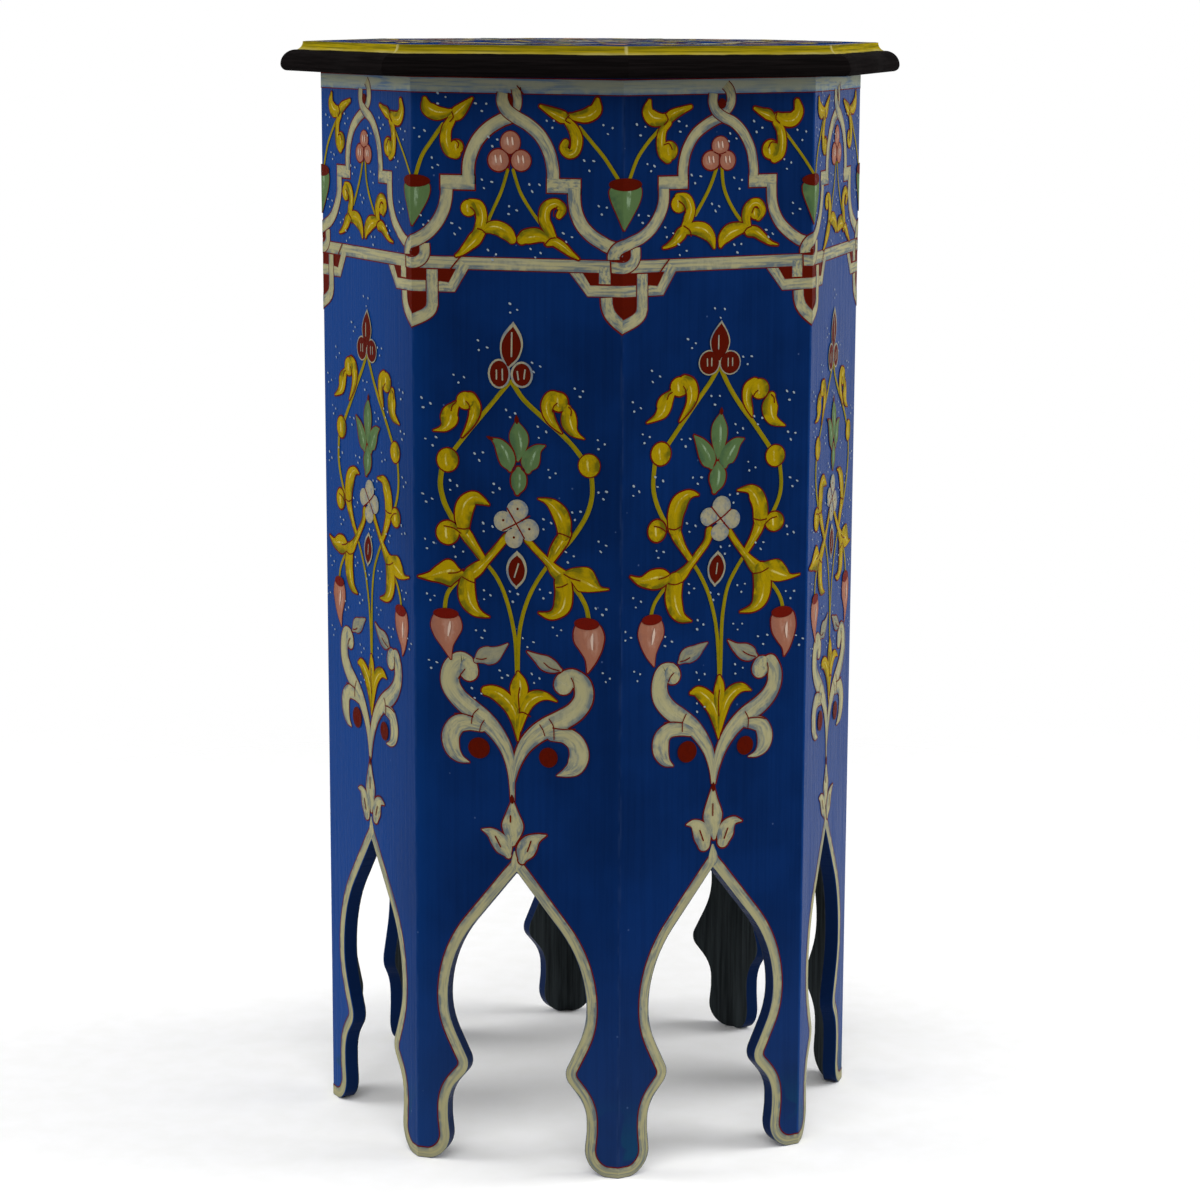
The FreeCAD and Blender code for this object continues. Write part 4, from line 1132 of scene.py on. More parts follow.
@made_once
def brush_marks(name):
    """Long fine marks of a brush along the third axis, and the cloudy coat under them."""
    inputs = [("Point", "vector"), ("Per metre", "float"), ("Stretch", "float")]
    outputs = [("Marks", "float"), ("Clouds", "float")]
    tree, given, result = new_group(name, "ShaderNodeTree", inputs, outputs)
    fine = given.outputs["Per metre"]
    slow = calc(tree, "DIVIDE", fine, given.outputs["Stretch"])
    scale = add(tree, "ShaderNodeCombineXYZ", {0: fine, 1: fine, 2: slow})
    ways = {0: given.outputs["Point"], 1: scale.outputs[0]}
    drawn = add(tree, "ShaderNodeVectorMath", ways, operation="MULTIPLY").outputs[0]
    plug_all(tree, result, {
        "Marks": patches(tree, drawn, *BRUSH_MARKS, detail=4.0, rough=0.6),
        "Clouds": patches(tree, given.outputs["Point"], *COAT_CLOUDS, detail=3.0, rough=0.55),
    })
    return tree


@made_once
def specks(name):
    """Small chips and grains, more of them where the amount is high."""
    inputs = [("Point", "vector"), ("Per metre", "float"), ("Amount", "float")]
    tree, given, result = new_group(name, "ShaderNodeTree", inputs, [("Specks", "float")])
    cells = {"Vector": given.outputs["Point"], "Scale": given.outputs["Per metre"]}
    grain = add(tree, "ShaderNodeTexVoronoi", cells)
    pick = add(tree, "ShaderNodeSeparateColor", {0: grain.outputs["Color"]})
    chosen = calc(tree, "LESS_THAN", pick.outputs[0], given.outputs["Amount"])
    near = fall(tree, grain.outputs["Distance"], *SPECK_EDGE)
    plug(tree, result.inputs["Specks"], times(tree, chosen, near))
    return tree


@made_once
def stroke_form(name):
    """Where on a stroke a point is: near an edge, on its shaded side, in a streak or on its highlight."""
    inputs = [("Stroke", "vector"), ("Glint place", "float"), ("Glint width", "float")]
    outputs = [("Edge", "float"), ("Side", "float"), ("Streaks", "float"), ("Glint", "float")]
    tree, given, result = new_group(name, "ShaderNodeTree", inputs, outputs)
    axes = add(tree, "ShaderNodeSeparateXYZ", {0: given.outputs["Stroke"]})
    along, across = axes.outputs[0], axes.outputs[1]
    drawn = stretch(tree, given.outputs["Stroke"], *STREAKS_IN_STROKE)
    side = calc(tree, "ABSOLUTE", calc(tree, "SUBTRACT", times(tree, across, 2.0), 1.0))
    off = calc(tree, "ABSOLUTE", calc(tree, "SUBTRACT", across, given.outputs["Glint place"]))
    band = fall(tree, calc(tree, "DIVIDE", off, given.outputs["Glint width"]), *GLINT_EDGE)
    run = times(tree, ease(tree, along, *GLINT_BEGINS), fall(tree, along, *GLINT_ENDS))
    plug_all(tree, result, {
        "Edge": ease(tree, side, *STROKE_EDGE),
        "Side": ease(tree, across, *STROKE_SIDE),
        "Streaks": patches(tree, drawn, *STREAKS, detail=3.0, rough=0.6),
        "Glint": times(tree, band, run),
    })
    return tree


# Finishes

# Brush marks and grain: how many to the metre, and how many times longer than wide.
SIDE_BRUSH = {"Per metre": 420.0, "Stretch": 40.0}
STAIN_GRAIN = {"Per metre": 420.0, "Stretch": 26.0}
RIM_BRUSH = {"Per metre": 900.0, "Stretch": 30.0}
TOP_BRUSH = {"Per metre": 600.0, "Stretch": 40.0}
TOP_GRAIN = {"Per metre": 260.0, "Stretch": 22.0}
STICK_GRAIN = {"Per metre": 300.0, "Stretch": 18.0}
STROKE_BRUSH = {"Per metre": 420.0, "Stretch": 2.0}
SIDE_CHIPS = {"Per metre": 420.0, "Amount": 0.006}

# How the grain of the top lies, in radians.
TOP_GRAIN_TURN = (math.pi / 2, 0.0, 0.35)

# Where one look gives way to another, in metres: the painted sheen towards the left and short of the right
# side, from a corner, above the floor, square to a side, and from the border on the moulding.
LEFT_SHEEN_WAY = (-0.92, -0.38, 0.0)
LEFT_SHEEN_FADE = (0.085, 0.135)
RIGHT_SHEEN_FADE = (0.0003, 0.0012)
CORNER_RUB = (0.0004, 0.0016)
FOOT_RUB_AND_SHEEN = (0.004, 0.16)
FOOT_SCUFF = (0.012, 0.05)
OUTER_FACE = (FACE - 0.0006, FACE - 0.0002)
INNER_FACE = (BACK + 0.0002, BACK + 0.0008)
RIM_BORDER = RIM_FOOT + 0.0112
RIM_SWAY = 0.0008
RIM_LINE = (-0.0001, 0.0001)
RIM_GLARE = (0.0002, 0.0016)
RIM_JOINT = (0.0003, 0.0014)
TOP_PAINT = (TOP - 0.012, TOP - 0.011)

# Patches of wear, of paler blue on the top, of rust and of thin paint: the scale of the noise, and its low
# and high value.
RUBBED = (90.0, 0.35, 0.65)
SCUFFED = (38.0, 0.5, 0.54)
TOP_PALE_PATCHES = (9.0, 0.52, 0.7)
RUSTED = (900.0, 0.5, 0.65)
THIN_PAINT = (170.0, 0.36, 0.6)
RIM_WAVES = 70.0

# How far a colour goes over to the next one where its mask is full.
MARKS_TONE = 0.2
CLOUDS_TONE = 0.5
TOP_TONE = 0.7
LEFT_SHEEN_SHARE = 0.75
RIGHT_SHEEN_SHARE = 0.5
RUB_AND_SHEEN_SHARE = 0.05
SCUFF_SHARE = 0.7
CHIP_SHARE = 0.35
GLARE_AND_JOINT_SHARE = 0.65
TOP_PATCH_SHARE = 0.35
GRIME_SHARE = 0.35

# How rough each finish is, from its smooth to its dull places, and how much the stain adds.
SIDE_ROUGH = (0.24, 0.38)
RIM_ROUGH = (0.6, 0.8)
TOP_ROUGH = (0.5, 0.65)
WOOD_ROUGH = (0.6, 0.85)
STEEL_ROUGH = (0.38, 0.8)
STROKE_ROUGH = (0.34, 0.5)
STAIN_ROUGHER = 0.45

# How strongly each finish shines, and how deep in metres and how strong its relief is.
SIDE_SHINE = 0.0125
RIM_SHINE = 0.002
TOP_SHINE = 0.0
STROKE_SHINE = 0.006
FLOOR_SHINE = 0.1
PAINT_RELIEF = (0.0002, 0.2)
STROKE_RELIEF = (0.0002, 0.3)
WOOD_RELIEF = (0.0003, 0.3)


def new_finish(name):
    """A material with a shader, the object's own coordinates and nothing else."""
    material = bpy.data.materials.new(name)
    material.use_nodes = True
    tree = material.node_tree
    tree.nodes.clear()
    shader = tree.nodes.new("ShaderNodeBsdfPrincipled")
    output = tree.nodes.new("ShaderNodeOutputMaterial")
    tree.links.new(shader.outputs[0], output.inputs["Surface"])
    point = tree.nodes.new("ShaderNodeTexCoord").outputs["Object"]
    return material, tree, shader, point


def add_bump(tree, shader, height, distance, strength):
    """Small relief on a finish."""
    inputs = {"Height": height, "Distance": distance, "Strength": strength}
    bump = add(tree, "ShaderNodeBump", inputs)
    plug(tree, shader.inputs["Normal"], bump.outputs[0])


def side_finish(paints):
    """Blue brushed paint outside with a painted sheen on two sides, dark cut edges, and a grey stain on the
    inside.
    """
    material, tree, shader, point = new_finish("side_blue_paint")
    space = use(tree, octagon_space(), {"Point": point})
    flat = space.outputs["Flat"]
    brushed = use(tree, brush_marks(), {"Point": flat, **SIDE_BRUSH})
    marks, clouds = brushed.outputs["Marks"], brushed.outputs["Clouds"]
    tone = calc(tree, "ADD", times(tree, marks, MARKS_TONE), times(tree, clouds, CLOUDS_TONE))
    blue = blend(tree, tone, paints.blue, paints.blue_light)

    # The sides to the left and to the right have a painted sheen: their blue is mixed towards a lighter
    # blue.
    sheen = add(tree, "ShaderNodeVectorMath", {0: point, 1: LEFT_SHEEN_WAY}, operation="DOT_PRODUCT")
    left = ease(tree, sheen.outputs["Value"], *LEFT_SHEEN_FADE, to_high=LEFT_SHEEN_SHARE)
    axes = add(tree, "ShaderNodeSeparateXYZ", {0: point})
    short = calc(tree, "SUBTRACT", space.outputs["Depth"], axes.outputs[0])
    right = ease(tree, short, *RIGHT_SHEEN_FADE, to_low=RIGHT_SHEEN_SHARE, to_high=0.0)
    painted_sheen = calc(tree, "MAXIMUM", left, right)
    blue = blend(tree, painted_sheen, blue, paints.blue_sheen_and_marks)

    # The corners are rubbed, and the blue grows lighter towards the floor: rubbed paint on the feet and a
    # painted reflection of the floor.
    corner = fall(tree, space.outputs["To corner"], *CORNER_RUB)
    corner = times(tree, corner, patches(tree, flat, *RUBBED, detail=3.0))
    blue = blend(tree, times(tree, corner, RUB_AND_SHEEN_SHARE), blue, paints.blue_wear_and_sheen)
    low = fall(tree, space.outputs["Height"], *FOOT_RUB_AND_SHEEN)
    blue = blend(tree, times(tree, low, RUB_AND_SHEEN_SHARE), blue, paints.blue_wear_and_sheen)
    scuff = fall(tree, space.outputs["Height"], *FOOT_SCUFF)
    scuff = times(tree, scuff, patches(tree, flat, *SCUFFED))
    blue = blend(tree, times(tree, scuff, SCUFF_SHARE), blue, paints.blue_scuffed)
    chips = use(tree, specks(), {"Point": flat, **SIDE_CHIPS})
    blue = blend(tree, times(tree, chips.outputs[0], CHIP_SHARE), blue, paints.blue_wear_and_sheen)

    # The sawn edges of the arch are darker, and the back is only stained.
    outside = ease(tree, space.outputs["Depth"], *OUTER_FACE)
    blue = blend(tree, outside, paints.blue_edge, blue)
    grain = use(tree, brush_marks(), {"Point": flat, **STAIN_GRAIN})
    stain = blend(tree, grain.outputs["Marks"], paints.stain, paints.stain_light)
    wood = ease(tree, space.outputs["Depth"], *INNER_FACE)
    plug(tree, shader.inputs["Base Color"], blend(tree, wood, stain, blue))

    gloss = spread(tree, marks, *SIDE_ROUGH)
    rough = calc(tree, "ADD", gloss, times(tree, calc(tree, "SUBTRACT", 1.0, wood), STAIN_ROUGHER))
    plug(tree, shader.inputs["Roughness"], rough)
    shader.inputs["Specular IOR Level"].default_value = SIDE_SHINE
    add_bump(tree, shader, calc(tree, "ADD", marks, grain.outputs["Marks"]), *PAINT_RELIEF)
    return material


def rim_finish(paints):
    """Black moulding with a yellow hollow along its top, pale at the mitred joints, with a painted
    highlight along the hollow's lower border.
    """
    material, tree, shader, point = new_finish("rim_black_and_yellow")
    space = use(tree, octagon_space(), {"Point": point})
    along = add(tree, "ShaderNodeCombineXYZ", {
        0: space.outputs["Height"],
        1: space.outputs["Depth"],
        2: space.outputs["Across"],
    }).outputs[0]
    brushed = use(tree, brush_marks(), {"Point": along, **RIM_BRUSH})
    marks, clouds = brushed.outputs["Marks"], brushed.outputs["Clouds"]
    black = blend(tree, marks, paints.black, paints.black_worn)
    yellow = blend(tree, marks, paints.rim_yellow, paints.yellow_shade)
    sway = times(tree, noise(tree, point, RIM_WAVES), RIM_SWAY)
    border = calc(tree, "ADD", sway, RIM_BORDER)
    over = calc(tree, "SUBTRACT", space.outputs["Height"], border)
    # The yellow turns cream along its lower border: a painted highlight on the hollow.
    pale = fall(tree, over, *RIM_GLARE)
    joint = fall(tree, space.outputs["To corner"], *RIM_JOINT)
    thin = calc(tree, "MAXIMUM", times(tree, pale, clouds), joint)
    yellow = blend(tree, times(tree, thin, GLARE_AND_JOINT_SHARE), yellow, paints.cream)
    painted = ease(tree, over, *RIM_LINE)
    plug(tree, shader.inputs["Base Color"], blend(tree, painted, black, yellow))
    plug(tree, shader.inputs["Roughness"], spread(tree, clouds, *RIM_ROUGH))
    shader.inputs["Specular IOR Level"].default_value = RIM_SHINE
    add_bump(tree, shader, marks, *PAINT_RELIEF)
    return material


def top_finish(paints):
    """Blue paint brushed along the board, paler in patches, bare wood underneath."""
    material, tree, shader, point = new_finish("top_blue_paint")
    along = stretch(tree, point, 1.0, 1.0, 0.0)
    turned = add(tree, "ShaderNodeMapping", {"Vector": along, "Rotation": TOP_GRAIN_TURN})
    brushed = use(tree, brush_marks(), {"Point": turned.outputs[0], **TOP_BRUSH})
    marks, clouds = brushed.outputs["Marks"], brushed.outputs["Clouds"]
    blue = blend(tree, times(tree, marks, TOP_TONE), paints.blue_light, paints.blue_sheen_and_marks)
    pale_patches = patches(tree, along, *TOP_PALE_PATCHES, detail=5.0, rough=0.6)
    blue = blend(tree, times(tree, pale_patches, TOP_PATCH_SHARE), blue, paints.blue_wear_and_sheen)
    axes = add(tree, "ShaderNodeSeparateXYZ", {0: point})
    upper = ease(tree, axes.outputs[2], *TOP_PAINT)
    grain = use(tree, brush_marks(), {"Point": turned.outputs[0], **TOP_GRAIN})
    wood = blend(tree, grain.outputs["Marks"], paints.wood, paints.wood_dark)
    plug(tree, shader.inputs["Base Color"], blend(tree, upper, wood, blue))
    plug(tree, shader.inputs["Roughness"], spread(tree, clouds, *TOP_ROUGH))
    shader.inputs["Specular IOR Level"].default_value = TOP_SHINE
    add_bump(tree, shader, marks, *PAINT_RELIEF)
    return material


def wood_finish(paints):
    """Bare softwood with its grain along each stick."""
    material, tree, shader, point = new_finish("bare_wood")
    space = use(tree, octagon_space(), {"Point": point})
    grain = use(tree, brush_marks(), {"Point": space.outputs["Flat"], **STICK_GRAIN})
    colour = blend(tree, grain.outputs["Marks"], paints.wood, paints.wood_dark)
    grime = times(tree, grain.outputs["Clouds"], GRIME_SHARE)
    plug(tree, shader.inputs["Base Color"], blend(tree, grime, colour, paints.stain))
    plug(tree, shader.inputs["Roughness"], spread(tree, grain.outputs["Marks"], *WOOD_ROUGH))
    add_bump(tree, shader, grain.outputs["Marks"], *WOOD_RELIEF)
    return material


def steel_finish(paints):
    """Dull wire steel with a little rust."""
    material, tree, shader, point = new_finish("dull_steel")
    spots = patches(tree, point, *RUSTED, detail=3.0)
    plug(tree, shader.inputs["Base Color"], blend(tree, spots, paints.steel, paints.rust))
    plug(tree, shader.inputs["Roughness"], spread(tree, spots, *STEEL_ROUGH))
    plug(tree, shader.inputs["Metallic"], spread(tree, spots, 1.0, 0.2))
    return material


# How a paint is laid: where its highlight runs across a stroke, how wide and how strong
# it is, and how far one side, the edges and the streaks of the brush go into the shade.
PLAIN_STROKE = (0.5, 0.5, 0.0, 0.0, 0.3, 0.3)
STROKES = {
    "ivory": (0.5, 0.55, 0.25, 0.7, 0.3, 0.85),
    "pale": (0.5, 0.5, 0.2, 0.5, 0.4, 0.9),
    "grey": (0.5, 0.5, 0.2, 0.6, 0.4, 0.9),
    "yellow": (0.42, 0.06, 0.6, 1.0, 0.05, 0.55),
    "olive": (0.4, 0.4, 0.3, 0.5, 0.1, 0.6),
    "green": (0.42, 0.09, 0.75, 0.85, 0.1, 0.2),
    "pink": (0.4, 0.3, 0.3, 0.3, 0.35, 0.3),
    "white": (0.5, 0.5, 0.2, 0.4, 0.1, 0.9),
}

# Lengths of noise that a stroke moves on by for each metre of height, so that no two
# strokes have the same streaks.
STROKE_APART = 60.0

# How streaks follow the clouds of a coat and highlights its brush marks: from one range to
# another.
STREAKS_IN_CLOUDS = (0.1, 0.9, 0.35, 1.0)
GLINT_IN_MARKS = (0.2, 0.7, 0.15, 1.0)


def stroke_paint(paint, paints):
    """Paint laid with a small brush, thin at its edges and streaked, made once for each paint."""
    name = paint + "_brush_paint"
    if name in bpy.data.materials:
        return bpy.data.materials[name]
    place, width, glint, side, edge, streak = STROKES.get(paint, PLAIN_STROKE)
    material, tree, shader, point = new_finish(name)
    axes = add(tree, "ShaderNodeSeparateXYZ", {0: point})
    spot = add(tree, "ShaderNodeUVMap", {}, uv_map=STROKE_UV).outputs[0]
    onward = times(tree, axes.outputs[2], STROKE_APART)
    apart = add(tree, "ShaderNodeCombineXYZ", {2: onward}).outputs[0]
    stroke = add(tree, "ShaderNodeVectorMath", {0: spot, 1: apart}, operation="ADD").outputs[0]
    form = use(tree, stroke_form(), {"Stroke": stroke, "Glint place": place, "Glint width": width})
    brushed = use(tree, brush_marks(), {"Point": point, **STROKE_BRUSH})
    marks, clouds = brushed.outputs["Marks"], brushed.outputs["Clouds"]
    thin = times(tree, form.outputs["Edge"], edge)
    bare = patches(tree, point, *THIN_PAINT)
    thin = calc(tree, "MULTIPLY_ADD", times(tree, form.outputs["Side"], bare), side, thin)
    streaks = times(tree, form.outputs["Streaks"], ease(tree, clouds, *STREAKS_IN_CLOUDS))
    thin = calc(tree, "MULTIPLY_ADD", streaks, streak, thin)
    body, shade = getattr(paints, paint), getattr(paints, paint + "_shade")
    colour = blend(tree, calc(tree, "MINIMUM", thin, 1.0), body, shade)
    if glint:
        lit = times(tree, form.outputs["Glint"], ease(tree, marks, *GLINT_IN_MARKS))
        colour = blend(tree, times(tree, lit, glint), colour, getattr(paints, paint + "_glint"))
    plug(tree, shader.inputs["Base Color"], colour)
    plug(tree, shader.inputs["Roughness"], spread(tree, marks, *STROKE_ROUGH))
    shader.inputs["Specular IOR Level"].default_value = STROKE_SHINE
    add_bump(tree, shader, calc(tree, "ADD", marks, form.outputs["Streaks"]), *STROKE_RELIEF)
    return material


# Geometry nodes that carry designs round the table

# A dab: its corners, its least and greatest share of the set size, the least and greatest
# turn in radians, and the seeds of both.
DAB_CORNERS = 9
DAB_LEAST = (0.85, 0.6, 1.0)
DAB_MOST = (1.45, 0.95, 1.0)
DAB_SIZE_SEED = 4
DAB_TURN = (0.2, 1.0)
DAB_TURN_SEED = 7

# Scale of the noise by which a ring of designs is uneven.
RING_WAVES = 16.0


@made_once
def ornament_ring(name):
    """Two designs set in turn round the upright axis, each a little uneven, as one painted mesh."""
    inputs = [
        ("Geometry", "geometry"),
        ("First design", "object"),
        ("Second design", "object"),
        ("Pairs", "count"),
        ("Unevenness", "float"),
        ("Paint", "material"),
    ]
    tree, given, result = new_group(name, "GeometryNodeTree", inputs, [("Geometry", "geometry")])
    pairs = given.outputs["Pairs"]
    places = add(tree, "GeometryNodePoints", {"Count": pairs}).outputs[0]
    pair = tree.nodes.new("GeometryNodeInputIndex").outputs[0]
    rings = tree.nodes.new("GeometryNodeJoinGeometry")
    for design, ahead in (("First design", 0.0), ("Second design", 0.5)):
        turn = calc(tree, "DIVIDE", calc(tree, "ADD", pair, ahead), pairs)
        turn = times(tree, turn, 2 * math.pi)
        euler = add(tree, "ShaderNodeCombineXYZ", {2: turn}).outputs[0]
        rotation = add(tree, "FunctionNodeEulerToRotation", {0: euler}).outputs[0]
        motif = add(tree, "GeometryNodeObjectInfo", {"Object": given.outputs[design]})
        inputs = {"Points": places, "Instance": motif.outputs["Geometry"], "Rotation": rotation}
        copies = add(tree, "GeometryNodeInstanceOnPoints", inputs)
        tree.links.new(copies.outputs[0], rings.inputs[0])
    whole = add(tree, "GeometryNodeRealizeInstances", {0: rings.outputs[0]}).outputs[0]
    point = tree.nodes.new("GeometryNodeInputPosition").outputs[0]
    sway = calc(tree, "SUBTRACT", noise(tree, point, RING_WAVES), 0.5)
    rise = times(tree, times(tree, sway, 2.0), given.outputs["Unevenness"])
    offset = add(tree, "ShaderNodeCombineXYZ", {2: rise}).outputs[0]
    swayed = add(tree, "GeometryNodeSetPosition", {"Geometry": whole, "Offset": offset}).outputs[0]
    painted = {"Geometry": swayed, "Material": given.outputs["Paint"]}
    tree.links.new(add(tree, "GeometryNodeSetMaterial", painted).outputs[0], result.inputs[0])
    return tree


@made_once
def brush_dabs(name):
    """A small oval dab on every point, each turned and sized a little differently."""
    inputs = [("Geometry", "geometry"), ("Dab", "float"), ("Tilt", "float"), ("Paint", "material")]
    tree, given, result = new_group(name, "GeometryNodeTree", inputs, [("Geometry", "geometry")])
    dab = {"Vertices": DAB_CORNERS, "Radius": given.outputs["Dab"]}
    oval = add(tree, "GeometryNodeMeshCircle", dab, fill_type="NGON").outputs[0]
    sizes = {0: DAB_LEAST, 1: DAB_MOST, 8: DAB_SIZE_SEED}
    size = add(tree, "FunctionNodeRandomValue", sizes, data_type="FLOAT_VECTOR").outputs[0]
    turns = {2: DAB_TURN[0], 3: DAB_TURN[1], 8: DAB_TURN_SEED}
    spin = add(tree, "FunctionNodeRandomValue", turns, data_type="FLOAT").outputs[1]
    tilt = given.outputs["Tilt"]
    upright = times(tree, spin, calc(tree, "SINE", tilt))
    flat = times(tree, spin, calc(tree, "COSINE", tilt))
    euler = add(tree, "ShaderNodeCombineXYZ", {0: tilt, 1: upright, 2: flat}).outputs[0]
    rotation = add(tree, "FunctionNodeEulerToRotation", {0: euler}).outputs[0]
    inputs = {"Points": given.outputs["Geometry"], "Instance": oval, "Rotation": rotation, "Scale": size}
    copies = add(tree, "GeometryNodeInstanceOnPoints", inputs).outputs[0]
    whole = add(tree, "GeometryNodeRealizeInstances", {0: copies}).outputs[0]
    painted = {"Geometry": whole, "Material": given.outputs["Paint"]}
    tree.links.new(add(tree, "GeometryNodeSetMaterial", painted).outputs[0], result.inputs[0])
    return tree


def grow(piece, tree, values):
    """Runs a geometry node tree on a piece and keeps what it makes as a plain mesh."""
    modifier = piece.modifiers.new(tree.name, "NODES")
    modifier.node_group = tree
    sockets = {item.name: item.identifier for item in tree.interface.items_tree if item.in_out == "INPUT"}
    for name, value in values.items():
        modifier[sockets[name]] = value
    graph = bpy.context.evaluated_depsgraph_get()
    grown = bpy.data.meshes.new_from_object(piece.evaluated_get(graph))
    piece.modifiers.remove(modifier)
    piece.data = grown
    if not grown.polygons:
        raise RuntimeError("nothing was drawn for %s" % piece.name)


def discard(*motifs):
    """Removes designs that have been carried round."""
    for motif in motifs:
        data = motif.data
        bpy.data.objects.remove(motif)
        bpy.data.meshes.remove(data)


def carry_round(name, first, second, pairs, unevenness, paint):
    """A piece made of two designs set in turn round the table."""
    piece = bpy.data.objects.new(name, bpy.data.meshes.new(name))
    bpy.context.scene.collection.objects.link(piece)
    values = {
        "First design": first,
        "Second design": second,
        "Pairs": pairs,
        "Unevenness": unevenness,
        "Paint": paint,
    }
    grow(piece, ornament_ring(), values)
    discard(first, second)
    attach(piece, "root")


def paint_sides(context, name, paint):
    """All eight sides' marks in one paint."""
    brush = context.scene.table_brush
    first = side_motif(name + "_odd", ODD_SIDE, paint, brush)
    second = side_motif(name + "_even", EVEN_SIDE, paint, brush)
    finish = stroke_paint(paint, context.scene.table_paints)
    carry_round(name, first, second, SIDES // 2, brush.unevenness, finish)


def paint_top(context, name, paint):
    """All the top's marks in one paint."""
    brush = context.scene.table_brush
    first = top_motif(name + "_star", TOP_STAR, paint, brush)
    second = top_motif(name + "_corner", TOP_CORNER, paint, brush)
    finish = stroke_paint(paint, context.scene.table_paints)
    carry_round(name, first, second, SIDES, 0.0, finish)


def dab_motif(name, design, place, tilt, context, seed):
    """Dots in threes, two above and one below, leaning a little, as a design."""
    brush = context.scene.table_brush
    chance = random.Random(seed)
    lift = coat_lift(brush, len(LAYERS), 0)
    mesh = bmesh.new()
    for across, height in design["dots"]:
        lean = Matrix.Rotation(chance.uniform(*DOT_LEAN), 2)
        for step in THREE_DOTS:
            aside, above = lean @ Vector(step)
            spot_across = across + aside + chance.uniform(-DOT_STRAY, DOT_STRAY)
            spot_height = height + above + chance.uniform(-DOT_STRAY, DOT_STRAY)
            mesh.verts.new(place(spot_across, spot_height, lift))
    motif = motif_object(name, mesh)
    finish = stroke_paint("dot", context.scene.table_paints)
    grow(motif, brush_dabs(), {"Dab": brush.dab, "Tilt": tilt, "Paint": finish})
    return motif


def finish_nodes(prefix, material):
    """Gives every frame node of one kind its finish."""
    found = [node for name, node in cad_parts.items() if name.startswith(prefix)]
    if not found:
        raise RuntimeError("the frame has no node named %s" % prefix)
    for node in found:
        node.data.materials.clear()
        node.data.materials.append(material)


# Settings


def colour(label, use_of, red, green, blue):
    """A paint's colour, as it looks on a screen."""
    return bpy.props.FloatVectorProperty(
        name=label, description=use_of, default=srgb(red, green, blue), subtype="COLOR", min=0.0, max=1.0)


def shade_of(paint, red, green, blue):
    """The colour of a paint where it is laid thinly."""
    return colour(paint + " shade", "Thin %s paint" % paint.lower(), red, green, blue)


def glint_of(paint, red, green, blue):
    """The colour of a paint where it is thick."""
    return colour(paint + " glint", "Thick %s paint and its highlights" % paint.lower(), red, green, blue)


def length(label, use_of, millimetres):
    """A length, given in millimetres and kept in metres."""
    return bpy.props.FloatProperty(
        name=label, description=use_of, default=millimetres * MM,
        subtype="DISTANCE", unit="LENGTH", precision=5)


def swing(label, use_of, degrees):
    """An angle, given in degrees and kept in radians."""
    return bpy.props.FloatProperty(
        name=label, description=use_of, default=math.radians(degrees), subtype="ANGLE")


def lamp_power(label, use_of, watts):
    """The power of a lamp."""
    return bpy.props.FloatProperty(name=label, description=use_of, default=watts, unit="POWER")


